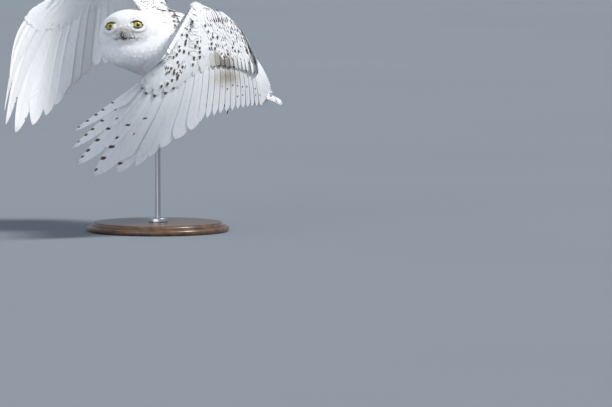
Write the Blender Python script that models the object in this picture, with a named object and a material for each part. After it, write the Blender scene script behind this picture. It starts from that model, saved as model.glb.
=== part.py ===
"""A snowy owl in flight, life size, held on a plain display stand.

The owl is laid out in its own frame: (forward, left, up) in metres, measured
from the middle of its head.  bird() turns that frame into the world, where +Z
is up, the floor is z = 0 and the origin is the middle of the stand's underside.
The owl heads towards -Y, nose up and banked to its left.
"""
import math

import bmesh
import bpy
import numpy as np
from mathutils import Matrix, Vector

GAP = 0.0003                      # clearance between pieces that touch

# ---- pose of the whole bird -------------------------------------------------
BODY_PITCH = 20.0                 # degrees nose up
BODY_ROLL = 13.0                  # degrees, left wing down
HEAD_YAW = 42.7                   # degrees to the bird's left, in the world
HEAD_PITCH = 21.9                 # degrees up, in the world
HEAD_ROLL = -3.8                  # degrees, left side up
HEAD_HEIGHT = 0.46                # middle of the head above the floor

# ---- head -------------------------------------------------------------------
HEAD_HALF = (0.0715, 0.0680, 0.0585)      # half width, half depth, half height
DISC_FLATTEN = 0.10               # how much the face is flatter than the ellipsoid
EYE_RADIUS = 0.0135
EYE_PLACE = (0.0290, -0.0450, 0.0020)     # head frame: left, back, up
BILL_PLACE = (0.0, -0.0525, -0.0165)      # where the bill leaves the skull
BILL_HALVES = (                   # name, length, start's fall, droop, half width, offset down
    ("bill_upper", 0.030, 0.0, 0.75, 0.0065, 0.0),
    ("bill_lower", 0.018, 0.0027, 0.35, 0.0050, 0.0105),
)
BILL_STEPS = 5

# ---- trunk: stations along the body, (forward, height of axis, half width, half depth)
TRUNK_STATIONS = (
    (0.042, -0.046, 0.014, 0.012),
    (0.036, -0.045, 0.036, 0.024),
    (0.021, -0.040, 0.060, 0.040),
    (-0.005, -0.028, 0.077, 0.055),
    (-0.040, -0.010, 0.086, 0.073),
    (-0.080, 0.003, 0.089, 0.086),
    (-0.125, 0.004, 0.089, 0.086),
    (-0.180, 0.003, 0.084, 0.080),
    (-0.240, 0.008, 0.068, 0.058),
    (-0.295, 0.000, 0.050, 0.040),
    (-0.335, -0.010, 0.035, 0.027),
    (-0.352, -0.013, 0.020, 0.014),
)
TRUNK_SIDES = 18
NECK_PLACE = (-0.050, 0.0, 0.004)
NECK_HALF = (0.060, 0.077, 0.077)         # along, across, up

# ---- wing bones of the left wing; the right one is its mirror image ----------
SHOULDER = (-0.085, 0.045, 0.030)
ELBOW = (-0.147, 0.190, 0.093)
WRIST = (0.006, 0.224, 0.120)
HAND_TIP = (0.048, 0.270, 0.011)
PRIMARIES = 10
SECONDARIES = 12
TERTIALS = 4
ALULA_PLACES = (3, 7)             # the feathers that the alula lies over
ALULA_ROWS = 4
HAND_SHAFTS_FROM = 5              # row from which the primaries have corners along their shafts
ULNA_RISE = (-0.35, 0.10, 0.93)
TERTIAL_SWELL = 0.03              # how much longer the middle tertials are
TERTIAL_TAPER = 0.06              # how much shorter the last ones are
INNER_PRIMARY_AIM = (-0.348, 0.117, -0.930)
OUTER_PRIMARY_AIM = (0.336, -0.154, -0.929)
ELBOW_FEATHER_AIM = (-0.770, 0.000, -0.630)
SHOULDER_FEATHER_AIM = (-0.998, -0.050, 0.020)
HAND_LEAD = 0.012                 # flesh and coverts ahead of the hand bones
ARM_LEAD = 0.008
ARM_THICKNESS = 0.028
HAND_THICKNESS = 0.015
TIP_THICKNESS = 0.0014
TIP_SLIMMING = 0.30               # how much thinner the hand's flesh is at its end
FRONT_SLIMMING = (0.30, 0.80)     # thickness at the front edge and halfway to the bones
DORSAL_SHARE = 0.80               # how much of the thickness lies above the middle surface
ALULA_THICKNESS = 0.0035
OUTER_BOW = 0.055                 # how far the outer primaries arch
INNER_BOW = 0.022
SECONDARY_TAPER = 0.080           # how much shorter the elbow's feathers are than the wrist's
FAN_BUNCHING = 0.035              # how unevenly the primaries spread
ULNA_ARCH = 0.008                 # how far the forearm's coverts stand above its bones
OUTER_VANE = 0.006                # outer vane of the first primary
OUTER_EDGE_SHARES = (0.12, 0.35, 0.65)     # how the hand's front edge runs into the first primary
TIP_POINT, TIP_FULLNESS = 1.8, 0.7          # how a feather narrows to its tip
ROWS_LEAD = (0.0, 0.45)           # rows from the leading edge to the bone
ROWS_VANE = (0.0, 0.14, 0.32, 0.5, 0.63, 0.74, 0.84, 0.93, 1.0)

# ---- tail -------------------------------------------------------------------
RECTRICES = 12
TAIL_ROOT = (-0.250, -0.012)      # forward, up
TAIL_LENGTH = 0.200
TAIL_HALF_ANGLE = 10.0            # degrees
TAIL_DROOP = 2.0                  # degrees below the body's axis
TAIL_THICKNESS = 0.012
TAIL_ROWS = (0.0, 0.3, 0.62, 0.93, 1.0)
TAIL_NOTCHES = (0.995, 0.965)     # how far the tail reaches between feathers, in its last two rows
TAIL_ROOT_HALF = 0.018            # half width at the root
TAIL_ROUNDING = 0.07              # how much shorter the outermost feathers are
TAIL_CROWN = 0.010                # how far the middle of the fan stands up

# ---- legs -------------------------------------------------------------------
HIP = (-0.195, 0.042, -0.045)
ANKLE = (-0.218, 0.036, -0.062)
FOOT = (-0.262, 0.033, -0.051)
THIGH_STATIONS = ((-0.35, 0.016), (-0.2, 0.030), (0.1, 0.036), (0.5, 0.032), (0.85, 0.022), (1.0, 0.012))
SHANK_STATIONS = ((-0.12, 0.010), (0.0, 0.017), (0.35, 0.018), (0.75, 0.016), (0.9, 0.011))
PAD_STATIONS = ((-0.004, 0.011), (0.004, 0.0165), (0.016, 0.016), (0.026, 0.010))    # along the foot
TOE_LENGTH = 0.028
TOE_HALVES = (0.0095, 0.0100, 0.0092, 0.0055)
TOE_SIDES = 6
TOE_ROOT = 0.004                  # from the pad along the toe
KNUCKLE = 0.55                    # where along the toe it bends
TOE_SWELL = 0.6                   # where between root and knuckle it is thickest
TOE_AIMS = (                      # across, along the foot's axis, down; then the pad's edge, along and down
    ("inner", -0.45, 0.88, 0.00, 0.010, 0.0),
    ("middle", -0.12, 1.00, -0.05, 0.010, 0.0),
    ("outer", 0.38, 0.90, 0.00, 0.010, 0.0),
    ("hind", 0.05, 0.88, 0.26, -0.002, 0.010),
)
TOE_BEND = 0.35                   # how far a toe bends down at its knuckle
CLAW_CURL, CLAW_HOOK = 0.6, 0.8   # how far a claw curves down, and then back
CLAW_SPINE = ((0.001, 0, 0), (0.007, 0, 0), (0.011, 0.005, 0), (0.012, 0.010, 0.003), (0.011, 0.012, 0.008))
CLAW_HALVES = (0.0030, 0.0028, 0.0022, 0.0014, 0.0006)
CLAW_SIDES = 5

# ---- stand ------------------------------------------------------------------
SOCKET_SPOT = (-0.130, 0.0, -0.090)       # where the rod enters the belly
SOCKET_DEPTH = 0.045
ROD_RADIUS = 0.006
BASE_RADIUS = 0.165
BASE_HEIGHT = 0.022
BASE_EDGE = 0.004
COLLAR_RADIUS = 0.022
COLLAR_HEIGHT = 0.010
COLLAR_EDGE = 0.002
ROUND_SIDES = 24

SIDES = (("left", 1), ("right", -1))

COLOURS = {                       # colour, roughness, metallic
    "plumage_white": ((0.86, 0.86, 0.85), 0.85, 0.0),
    "plumage_wing": ((0.82, 0.81, 0.79), 0.85, 0.0),
    "plumage_tail": ((0.80, 0.79, 0.76), 0.85, 0.0),
    "eye": ((0.85, 0.62, 0.05), 0.10, 0.0),
    "horn_dark": ((0.03, 0.03, 0.035), 0.40, 0.0),
    "steel": ((0.60, 0.60, 0.62), 0.30, 1.0),
    "wood": ((0.10, 0.055, 0.03), 0.45, 0.0),
}


# ---- frames -----------------------------------------------------------------
def unit(vector):
    """The vector at length one."""
    vector = np.asarray(vector, float)
    return vector / np.linalg.norm(vector)


def turn(first, second, share):
    """The direction that is `share` of the way from one unit vector to another."""
    first, second = unit(first), unit(second)
    angle = math.acos(float(np.clip(first @ second, -1.0, 1.0)))
    return (math.sin((1 - share) * angle) * first + math.sin(share * angle) * second) / math.sin(angle)


def rotation(yaw, pitch, roll):
    """Rotation for a bird that heads towards -Y: yaw to its left, nose up, left wing down."""
    turned = (Matrix.Rotation(math.radians(yaw), 3, "Z")
              @ Matrix.Rotation(math.radians(-pitch), 3, "X")
              @ Matrix.Rotation(math.radians(roll), 3, "Y"))
    return np.array(turned)


BODY = rotation(0.0, BODY_PITCH, BODY_ROLL)
HEAD = rotation(HEAD_YAW, HEAD_PITCH, HEAD_ROLL)


def offset(points):
    """World offset from the head's middle of points in the bird's frame."""
    points = np.atleast_2d(np.asarray(points, float))
    local = np.stack([points[:, 1], -points[:, 0], points[:, 2]], axis=1)
    return local @ BODY.T


SOCKET_OFFSET = offset(SOCKET_SPOT)[0]
HEAD_MIDDLE = np.array([-SOCKET_OFFSET[0], -SOCKET_OFFSET[1], HEAD_HEIGHT])


def bird(points):
    """World places of points in the bird's frame."""
    return offset(points) + HEAD_MIDDLE


def head_place(points):
    """World places of points in the head's frame (left, back, up)."""
    return np.atleast_2d(np.asarray(points, float)) @ HEAD.T + HEAD_MIDDLE


# ---- making objects ---------------------------------------------------------
def clear_scene():
    """Remove whatever the file opened with."""
    for thing in list(bpy.data.objects):
        bpy.data.objects.remove(thing)


def material(name):
    """The named material, made the first time it is asked for."""
    found = bpy.data.materials.get(name)
    if found:
        return found
    made = bpy.data.materials.new(name)
    made.use_nodes = True
    colour, roughness, metallic = COLOURS[name]
    shader = made.node_tree.nodes["Principled BSDF"]
    shader.inputs["Base Color"].default_value = (*colour, 1.0)
    shader.inputs["Roughness"].default_value = roughness
    shader.inputs["Metallic"].default_value = metallic
    return made


def solid(name, vertices, faces, finish):
    """An object from closed faces, cut into triangles that point outwards, shaded smooth."""
    mesh = bpy.data.meshes.new(name)
    mesh.from_pydata([tuple(map(float, vertex)) for vertex in vertices], [], faces)
    work = bmesh.new()
    work.from_mesh(mesh)
    bmesh.ops.recalc_face_normals(work, faces=work.faces)
    bmesh.ops.triangulate(work, faces=work.faces)
    work.to_mesh(mesh)
    work.free()
    mesh.shade_smooth()
    mesh.set_sharp_from_angle(angle=math.radians(50))
    mesh.materials.append(material(finish))
    thing = bpy.data.objects.new(name, mesh)
    bpy.context.scene.collection.objects.link(thing)
    return thing


def loft(name, rings, finish):
    """A closed solid through rings of equal point counts, its ends filled."""
    sides = len(rings[0])
    vertices = [point for ring in rings for point in ring]
    faces = [tuple(range(sides))[::-1]]
    for row in range(len(rings) - 1):
        for side in range(sides):
            ahead = (side + 1) % sides
            base = row * sides
            faces.append((base + side, base + ahead, base + sides + ahead, base + sides + side))
    faces.append(tuple(range((len(rings) - 1) * sides, len(rings) * sides)))
    return solid(name, vertices, faces, finish)


def cut(thing, cutters):
    """Take the cutters' shapes out of the object, then drop the cutters."""
    for cutter in cutters:
        step = thing.modifiers.new("cut", "BOOLEAN")
        step.operation = "DIFFERENCE"
        step.solver = "EXACT"
        step.object = cutter
    depsgraph = bpy.context.evaluated_depsgraph_get()
    mesh = bpy.data.meshes.new_from_object(thing.evaluated_get(depsgraph))
    thing.modifiers.clear()
    thing.data = mesh
    for cutter in cutters:
        bpy.data.objects.remove(cutter)


def grown(thing, distance):
    """A copy of the object, larger all round by the distance."""
    copy = bpy.data.objects.new(thing.name + "_cutter", thing.data.copy())
    bpy.context.scene.collection.objects.link(copy)
    copy.data.calc_loop_triangles()
    normals = [vertex.normal.copy() for vertex in copy.data.vertices]
    for vertex, normal in zip(copy.data.vertices, normals):
        vertex.co += normal * distance
    copy.hide_render = True
    copy.display_type = "WIRE"
    return copy


def ellipse_ring(middle, across, upward, half_across, half_up, sides):
    """Points round an ellipse spanned by two directions."""
    ring = []
    for side in range(sides):
        angle = math.tau * side / sides
        ring.append(np.asarray(middle) + np.asarray(across) * half_across * math.cos(angle)
                    + np.asarray(upward) * half_up * math.sin(angle))
    return ring


# ---- head and trunk ---------------------------------------------------------
def head_radius(direction):
    """Distance from the head's middle to its surface, in the head's frame."""
    half = np.array(HEAD_HALF)
    plain = 1.0 / math.sqrt(float(np.sum((direction / half) ** 2)))
    facing = max(0.0, -direction[1])
    return plain * (1.0 - DISC_FLATTEN * facing ** 3)


def make_head():
    """The feathered head: broad and round, a little flatter over the face."""
    rings = []
    levels = 11
    sides = 20
    for level in range(1, levels):
        polar = math.pi * level / levels
        ring = []
        for side in range(sides):
            around = math.tau * side / sides
            direction = np.array([math.sin(polar) * math.cos(around),
                                  math.cos(polar),
                                  math.sin(polar) * math.sin(around)])
            ring.append(direction * head_radius(direction))
        rings.append(head_place(ring))
    return loft("head", rings, "plumage_white")


def make_trunk():
    """The feathered trunk, from the breast under the chin back to the rump."""
    rings = []
    for forward, height, half_width, half_depth in TRUNK_STATIONS:
        ring = ellipse_ring((forward, 0, height), (0, 1, 0), (0, 0, 1), half_width, half_depth, TRUNK_SIDES)
        rings.append(bird(ring))
    return loft("trunk", rings, "plumage_white")


def make_neck():
    """The thick neck between head and trunk."""
    rings = []
    levels = 8
    for level in range(1, levels):
        polar = math.pi * level / levels
        middle = np.array(NECK_PLACE) + np.array([NECK_HALF[0] * math.cos(polar), 0, 0])
        ring = ellipse_ring(middle, (0, 1, 0), (0, 0, 1), NECK_HALF[1] * math.sin(polar),
                            NECK_HALF[2] * math.sin(polar), TRUNK_SIDES)
        rings.append(bird(ring))
    return loft("neck", rings, "plumage_white")


def ball(name, middle, radius, finish, sides=14, levels=8):
    """A round ball in the world."""
    rings = []
    for level in range(1, levels):
        polar = math.pi * level / levels
        place = np.asarray(middle) + np.array([0, 0, -radius * math.cos(polar)])
        rings.append(ellipse_ring(place, (1, 0, 0), (0, 1, 0), radius * math.sin(polar),
                                  radius * math.sin(polar), sides))
    return loft(name, rings, finish)


def horn(name, spine, widths, depths, across, finish, sides=8):
    """A tapering curved piece, such as a claw or half of the bill, along a spine."""
    rings = []
    for index, point in enumerate(spine):
        ahead = spine[min(index + 1, len(spine) - 1)]
        behind = spine[max(index - 1, 0)]
        upward = np.cross(unit(ahead - behind), across)
        rings.append(ellipse_ring(point, across, unit(upward), widths[index], depths[index], sides))
    return loft(name, rings, finish)


def make_bill():
    """The short hooked upper half of the bill and the lower half behind it."""
    made = []
    for name, length, start_fall, droop, width, below in BILL_HALVES:
        spine, widths = [], []
        for step in range(BILL_STEPS + 1):
            share = step / BILL_STEPS
            reach = length * (share - 0.45 * droop * share ** 3)
            fall = length * droop * share ** 2 + start_fall + below
            spine.append(head_place(np.array(BILL_PLACE) + (0, -reach, -fall))[0])
            widths.append(width * (1 - 0.92 * share ** 1.6))
        depths = [0.72 * half for half in widths]
        made.append(horn(name, spine, widths, depths, HEAD[:, 0], "horn_dark"))
    return made


# ---- wings -----------------------------------------------------------------
# A wing is a fan of flight feathers, counted inward along the wing by `place`:
# 0 is the outermost primary, 9 the innermost, then 12 secondaries and 4 tertials.
# Halves lie between neighbouring feathers.
HAND_END = PRIMARIES - 0.5
FOREARM_END = HAND_END + SECONDARIES
ARM_END = FOREARM_END + TERTIALS
TIP_ROW = len(ROWS_LEAD) + len(ROWS_VANE) - 1


def feather_root(place):
    """Where the feather leaves the bones."""
    wrist, elbow, shoulder, tip = map(np.array, (WRIST, ELBOW, SHOULDER, HAND_TIP))
    if place <= HAND_END:
        return wrist + (tip - wrist) * (HAND_END - place) / HAND_END
    if place <= FOREARM_END:
        share = (place - HAND_END) / SECONDARIES
        arch = np.array(ULNA_RISE) * ULNA_ARCH * math.sin(math.pi * share)
        return wrist + (elbow - wrist) * share + arch
    return elbow + (shoulder - elbow) * (place - FOREARM_END) / TERTIALS


def primary_reach(number):
    """Distance from the wrist to the tip of a primary, counted outward from 1."""
    past = max(0.0, number - 7)
    return 0.278 + 0.022 * (number - 1) + 0.001 * (number - 1) ** 2 - 0.037 * past ** 1.38


def fan_share(number):
    """How far the primary has turned from the first primary's aim to the last one's."""
    share = (number - 1) / (PRIMARIES - 1)
    return share - FAN_BUNCHING * math.cos(math.tau * (share - 0.5) / 0.6)


def feather_tip(place):
    """Where the feather ends."""
    if place <= HAND_END:
        number = PRIMARIES - place
        aim = turn(INNER_PRIMARY_AIM, OUTER_PRIMARY_AIM, fan_share(number))
        return np.array(WRIST) + aim * primary_reach(number)
    inner_aim = turn(INNER_PRIMARY_AIM, OUTER_PRIMARY_AIM, fan_share(0.5))
    if place <= FOREARM_END:
        share = (place - HAND_END) / SECONDARIES
        length = primary_reach(0.5) - SECONDARY_TAPER * share ** 0.65
        return feather_root(place) + turn(inner_aim, ELBOW_FEATHER_AIM, share) * length
    share = (place - FOREARM_END) / TERTIALS
    length = primary_reach(0.5) - SECONDARY_TAPER
    length += TERTIAL_SWELL * math.sin(math.pi * min(share, 0.6) / 1.2) - TERTIAL_TAPER * share ** 3
    return feather_root(place) + turn(ELBOW_FEATHER_AIM, SHOULDER_FEATHER_AIM, share ** 0.6) * length


def leading_edge(place):
    """The wing's front edge ahead of a feather."""
    wrist, shoulder, tip = map(np.array, (WRIST, SHOULDER, HAND_TIP))
    bone = unit(tip - wrist)
    dorsal = unit(np.cross(bone, INNER_PRIMARY_AIM))
    hand_ahead = unit(np.cross(bone, dorsal))
    if place <= HAND_END:
        return feather_root(place) + hand_ahead * HAND_LEAD
    share = (place - HAND_END) / (ARM_END - HAND_END)
    arm_ahead = unit(hand_ahead + np.array([0.6, 0.0, 0.0]))
    ahead = unit(hand_ahead * (1 - share) + arm_ahead * share)
    return wrist + (shoulder - wrist) * share + ahead * (HAND_LEAD + (ARM_LEAD - HAND_LEAD) * share)


def feather_bow(place):
    """How far the feather arches out of the straight line to its tip."""
    outward = max(0.0, 1.0 - max(0.0, place) / HAND_END)
    return INNER_BOW + (OUTER_BOW - INNER_BOW) * outward ** 1.5


def shaft_point(place, share):
    """A point on the feather's shaft, `share` of the way from root to tip."""
    root, tip = feather_root(place), feather_tip(place)
    bone = unit(np.array(HAND_TIP) - np.array(WRIST))
    inner_side = np.cross(bone, INNER_PRIMARY_AIM)
    outer_side = np.cross(OUTER_PRIMARY_AIM, INNER_PRIMARY_AIM)
    outward = max(0.0, 1.0 - max(0.0, place) / HAND_END)
    side = turn(inner_side, outer_side, outward)
    arch = math.sin(math.pi * share ** 0.85)
    return root + (tip - root) * share + side * feather_bow(place) * arch


def notch(place):
    """Share of the length at which the feather parts from its inner neighbour."""
    return 0.95 - 0.33 * math.exp(-max(0.0, place) / 2.5)


def rib(place, row):
    """A point of the wing's middle surface: rows run from the front edge to the feather tip."""
    if row < len(ROWS_LEAD):
        front, root = leading_edge(place), feather_root(place)
        return front + (root - front) * ROWS_LEAD[row]
    return shaft_point(place, ROWS_VANE[row - len(ROWS_LEAD)])


def thickness(place, row):
    """Full thickness of the wing at a rib's row."""
    past_wrist = min(1.0, max(0.0, (place - HAND_END) / 6))
    flesh = HAND_THICKNESS + (ARM_THICKNESS - HAND_THICKNESS) * past_wrist
    flesh *= TIP_SLIMMING + (1 - TIP_SLIMMING) * min(1.0, (place + 0.5) / 5)
    if row < len(ROWS_LEAD):
        return flesh * FRONT_SLIMMING[row]
    share = ROWS_VANE[row - len(ROWS_LEAD)]
    return TIP_THICKNESS + (flesh - TIP_THICKNESS) * (1 - share) ** 3


def surface_normal(place, row):
    """The dorsal direction of the wing's middle surface."""
    along = rib(place, min(row + 1, TIP_ROW)) - rib(place, max(row - 1, 0))
    across = rib(min(place + 1.5, ARM_END), row) - rib(max(place - 1.5, -0.5), row)
    return unit(np.cross(along, across))


def free_half_width(place, side, share):
    """Half width of a feather past its notch, ending in a round tip."""
    start = notch(place if side > 0 else place - 1)
    half = 0.5 * np.linalg.norm(shaft_point(place + side, start) - shaft_point(place, start))
    past = (share - start) / (1 - start)
    return max(0.0, half * max(0.0, 1 - past ** TIP_POINT) ** TIP_FULLNESS - 3 * GAP)


def is_free(place, side, row):
    """Whether a feather's edge has parted from its neighbour at this row."""
    share = ROWS_VANE[row - len(ROWS_LEAD)] if row >= len(ROWS_LEAD) else 0.0
    neighbour = place + side
    if neighbour < 0:
        return True
    if neighbour > ARM_END:
        return False
    return share > notch(place if side > 0 else neighbour)


def outer_edge(row):
    """The front edge of the outermost primary, run smoothly on from the hand's front edge."""
    if row > len(ROWS_LEAD):
        share = ROWS_VANE[row - len(ROWS_LEAD)]
        along = unit(rib(0, row) - rib(0, row - 1))
        across = rib(0.5, row) - rib(0, row)
        across = unit(across - along * (across @ along))
        return rib(0, row) - across * OUTER_VANE * math.sqrt(max(0.0, 1 - share ** 4))
    first = len(ROWS_LEAD) + 1
    share = OUTER_EDGE_SHARES[row]
    return leading_edge(0) * (1 - share) + outer_edge(first) * share


def edge_point(place, side, row):
    """A point on the edge of a feather: shared with its neighbour, or free past the notch."""
    if place + side < 0:
        return outer_edge(row)
    shared = rib(place + 0.5 * side, row)
    if not is_free(place, side, row):
        return shared
    shaft = rib(place, row)
    share = ROWS_VANE[row - len(ROWS_LEAD)]
    return shaft + unit(shared - shaft) * free_half_width(place, side, share)


class WingSheet:
    """Collects the triangles of one wing piece and gives them thickness."""

    def __init__(self, mirror):
        self.mirror = mirror
        self.keys = {}
        self.points = []
        self.normals = []
        self.halves = []
        self.triangles = []

    def vertex(self, key, point, normal, half):
        """Index of a vertex, made once for each key."""
        if key not in self.keys:
            self.keys[key] = len(self.points)
            self.points.append(np.asarray(point, float))
            self.normals.append(np.asarray(normal, float))
            self.halves.append(half)
        return self.keys[key]

    def add(self, corners):
        """Triangles through the corners, repeats dropped, fanned from the same corner above and below."""
        corners = list(dict.fromkeys(corners))
        hub = 3 if len(corners) == 5 else 0
        ring = corners[hub:] + corners[:hub]
        for second, third in zip(ring[1:], ring[2:]):
            self.triangles.append([ring[0], second, third])

    def build(self, name, finish, lift=0.0, fixed=None):
        """The closed solid between the sheet's upper and lower surfaces."""
        count = len(self.points)
        upper, lower = [], []
        for point, normal, half in zip(self.points, self.normals, self.halves):
            back = 2 * half * DORSAL_SHARE
            rise = back if fixed is None else back + lift + fixed
            fall = back - 2 * half if fixed is None else back + lift
            upper.append(point + normal * rise)
            lower.append(point + normal * fall)
        places = np.array(upper + lower) * (1, self.mirror, 1)
        faces = [tuple(triangle) for triangle in self.triangles]
        faces += [tuple(index + count for index in triangle[::-1]) for triangle in self.triangles]
        edges = {}
        for triangle in self.triangles:
            for start, end in zip(triangle, triangle[1:] + triangle[:1]):
                edges[(start, end)] = True
        for start, end in edges:
            if (end, start) not in edges:
                faces.append((end, start, start + count, end + count))
        return solid(name, bird(places), faces, finish)


def wing_sheet(first, last, mirror, rows, shafts_from=0):
    """The faces of the feathers first..last, with a thin gap at the sheet's two sides.

    Each feather has a line of corners along its shaft from row `shafts_from` on.
    """
    sheet = WingSheet(mirror)

    def corner(place, side, row):
        free = side != 0 and is_free(place, side, row)
        if free and row == TIP_ROW:
            side, free = 0, False
        half_place = place + 0.5 * side
        point = edge_point(place, side, row) if side else rib(place, row)
        key = (place, side, row) if free else (half_place, row)
        if side and not free and half_place in (first - 0.5, last + 0.5) and half_place > 0:
            point = point + unit(rib(place, row) - point) * GAP
        normal = surface_normal(min(max(half_place, 0.0), ARM_END), row)
        return sheet.vertex(key, point, normal, thickness(half_place, row) / 2)

    for place in range(first, last + 1):
        for row in rows[:-1]:
            near_sides = (-1, 0, 1) if row >= shafts_from else (-1, 1)
            far_sides = (1, 0, -1) if row + 1 >= shafts_from else (1, -1)
            near = [corner(place, side, row) for side in near_sides]
            far = [corner(place, side, row + 1) for side in far_sides]
            if len(near) == 3:
                sheet.add(near[:2] + far[1:])
                sheet.add(near[1:] + far[:2])
            else:
                sheet.add(near + far)
    return sheet


def make_wing(side, mirror):
    """One wing: upper arm, forearm, hand and alula."""
    rows = range(TIP_ROW + 1)
    elbow_place = PRIMARIES + SECONDARIES
    shoulder_place = elbow_place + TERTIALS
    stretches = (("hand", 0, PRIMARIES, HAND_SHAFTS_FROM),
                 ("forearm", PRIMARIES, elbow_place, TIP_ROW - 1),
                 ("upper_arm", elbow_place, shoulder_place, TIP_ROW - 1))
    pieces = {}
    for name, first, beyond, shafts_from in stretches:
        sheet = wing_sheet(first, beyond - 1, mirror, rows, shafts_from)
        pieces[name] = sheet.build(f"wing_{side}_{name}", "plumage_wing")
    sheet = wing_sheet(*ALULA_PLACES, mirror, range(ALULA_ROWS), HAND_SHAFTS_FROM)
    pieces["alula"] = sheet.build(f"wing_{side}_alula", "plumage_wing", lift=2 * GAP, fixed=ALULA_THICKNESS)
    return pieces


# ---- tail -------------------------------------------------------------------
def make_tail():
    """The fan of tail feathers with the coverts over its root, as one thin solid."""
    drop = math.radians(TAIL_DROOP)
    upper, lower = [], []
    columns = 2 * RECTRICES + 1
    for row, share in enumerate(TAIL_ROWS):
        for column in range(columns):
            spread = 2 * column / (columns - 1) - 1
            between = column % 2 == 0
            length = TAIL_LENGTH * (1 - TAIL_ROUNDING * spread ** 2)
            if between and row >= len(TAIL_ROWS) - 2:
                length *= TAIL_NOTCHES[row - len(TAIL_ROWS) + 2]
            angle = math.radians(TAIL_HALF_ANGLE) * spread
            width = TAIL_ROOT_HALF * spread
            reach = length * share
            forward = TAIL_ROOT[0] - reach * math.cos(angle) * math.cos(drop)
            across = width + reach * math.sin(angle)
            curve = TAIL_CROWN * (1 - spread ** 2) * share
            height = TAIL_ROOT[1] - reach * math.sin(drop) + curve
            half = 0.5 * (TIP_THICKNESS + TAIL_THICKNESS * (1 - share) ** 1.5)
            upper.append((forward, across, height + half))
            lower.append((forward, across, height - half))
    count = len(upper)
    faces = []
    for row in range(len(TAIL_ROWS) - 1):
        for column in range(columns - 1):
            corner = row * columns + column
            quad = (corner, corner + 1, corner + columns + 1, corner + columns)
            faces.append(quad)
            faces.append(tuple(index + count for index in quad[::-1]))
    rim = [column for column in range(columns)]
    rim += [row * columns + columns - 1 for row in range(1, len(TAIL_ROWS))]
    rim += [(len(TAIL_ROWS) - 1) * columns + column for column in range(columns - 2, -1, -1)]
    rim += [row * columns for row in range(len(TAIL_ROWS) - 2, 0, -1)]
    for start, end in zip(rim, rim[1:] + rim[:1]):
        faces.append((end, start, start + count, end + count))
    return solid("tail", bird(np.array(upper + lower)), faces, "plumage_tail")


# ---- legs -------------------------------------------------------------------
def limb(name, stations, finish, mirror, sides=10):
    """A feathered stretch of leg through (forward, left, up, half width) stations."""
    rings = []
    points = [np.array(station[:3]) * (1, mirror, 1) for station in stations]
    for index, station in enumerate(stations):
        ahead = points[min(index + 1, len(points) - 1)]
        behind = points[max(index - 1, 0)]
        along = unit(ahead - behind)
        across = unit(np.cross((0, 0, 1), along))
        upward = np.cross(along, across)
        ring = ellipse_ring(points[index], across, upward, station[3], station[3], sides)
        rings.append(bird(ring))
    return loft(name, rings, finish)


def between(first, second, stations):
    """Stations part of the way along a stretch of leg, from (share, half width) pairs."""
    first, second = np.array(first), np.array(second)
    return [(*(first + (second - first) * share), half) for share, half in stations]


def make_leg(side, mirror):
    """The thigh and shank of a leg drawn up under the tail."""
    thigh = limb(f"leg_{side}_thigh", between(HIP, ANKLE, THIGH_STATIONS), "plumage_white", mirror)
    shank = limb(f"leg_{side}_shank", between(ANKLE, FOOT, SHANK_STATIONS), "plumage_white", mirror)
    return thigh, shank


def make_claw(name, start, heading, under, back, mirror):
    """A curved claw that carries on from the toe's end and hooks down and back."""
    curl = unit(heading + under * CLAW_CURL)
    hook = unit(curl + back * CLAW_HOOK)
    spine = [start + heading * ahead + curl * down + hook * inward for ahead, down, inward in CLAW_SPINE]
    rings = []
    for index, point in enumerate(spine):
        along = unit(spine[min(index + 1, len(spine) - 1)] - spine[max(index - 1, 0)])
        wide = np.cross(under, -back)
        wide = unit(wide - along * (wide @ along))
        deep = np.cross(wide, along)
        ring = ellipse_ring(point, wide, deep, CLAW_HALVES[index], CLAW_HALVES[index], CLAW_SIDES)
        rings.append(bird(np.array(ring) * (1, mirror, 1)))
    loft(name, rings, "horn_dark")


def make_foot(side, mirror, shank, trunk):
    """A feathered foot, loosely closed, and its claws."""
    foot = np.array(FOOT)
    aim = unit(foot - np.array(ANKLE))
    across = -unit(np.cross((0, 0, 1), aim))
    under = unit(np.cross(aim, across))
    under = under if under[2] < 0 else -under
    stations = [(*(foot + aim * onward), half) for onward, half in PAD_STATIONS]
    pad = limb(f"leg_{side}_foot", stations, "plumage_white", mirror)
    cut(pad, [grown(trunk, GAP)])
    made = [shank, pad, trunk]
    for toe, sideways, onward, downward, edge, below in TOE_AIMS:
        heading = unit(across * sideways + aim * onward + under * downward)
        bend = unit(heading + under * TOE_BEND)
        start = foot + aim * edge + under * below + heading * TOE_ROOT
        knuckle = start + heading * TOE_LENGTH * KNUCKLE
        end = knuckle + bend * TOE_LENGTH * (1 - KNUCKLE)
        places = (start, start + (knuckle - start) * TOE_SWELL, knuckle, end)
        stations = [(*place, half) for place, half in zip(places, TOE_HALVES)]
        made_toe = limb(f"leg_{side}_toe_{toe}", stations, "plumage_white", mirror, sides=TOE_SIDES)
        cut(made_toe, [grown(piece, GAP) for piece in made])
        made.append(made_toe)
        make_claw(f"claw_{side}_{toe}", end, bend, under, -aim, mirror)
    return pad


# ---- stand ------------------------------------------------------------------
def round_bar(name, radius, low, high, finish, edge=0.0):
    """An upright round bar or disc on the stand's axis, its rims eased by `edge`."""
    levels = [(low, radius), (high, radius)]
    if edge:
        levels = [(low, radius - edge), (low + edge, radius), (high - edge, radius), (high, radius - edge)]
    rings = [ellipse_ring((0, 0, height), (1, 0, 0), (0, 1, 0), reach, reach, ROUND_SIDES)
             for height, reach in levels]
    return loft(name, rings, finish)


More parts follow.
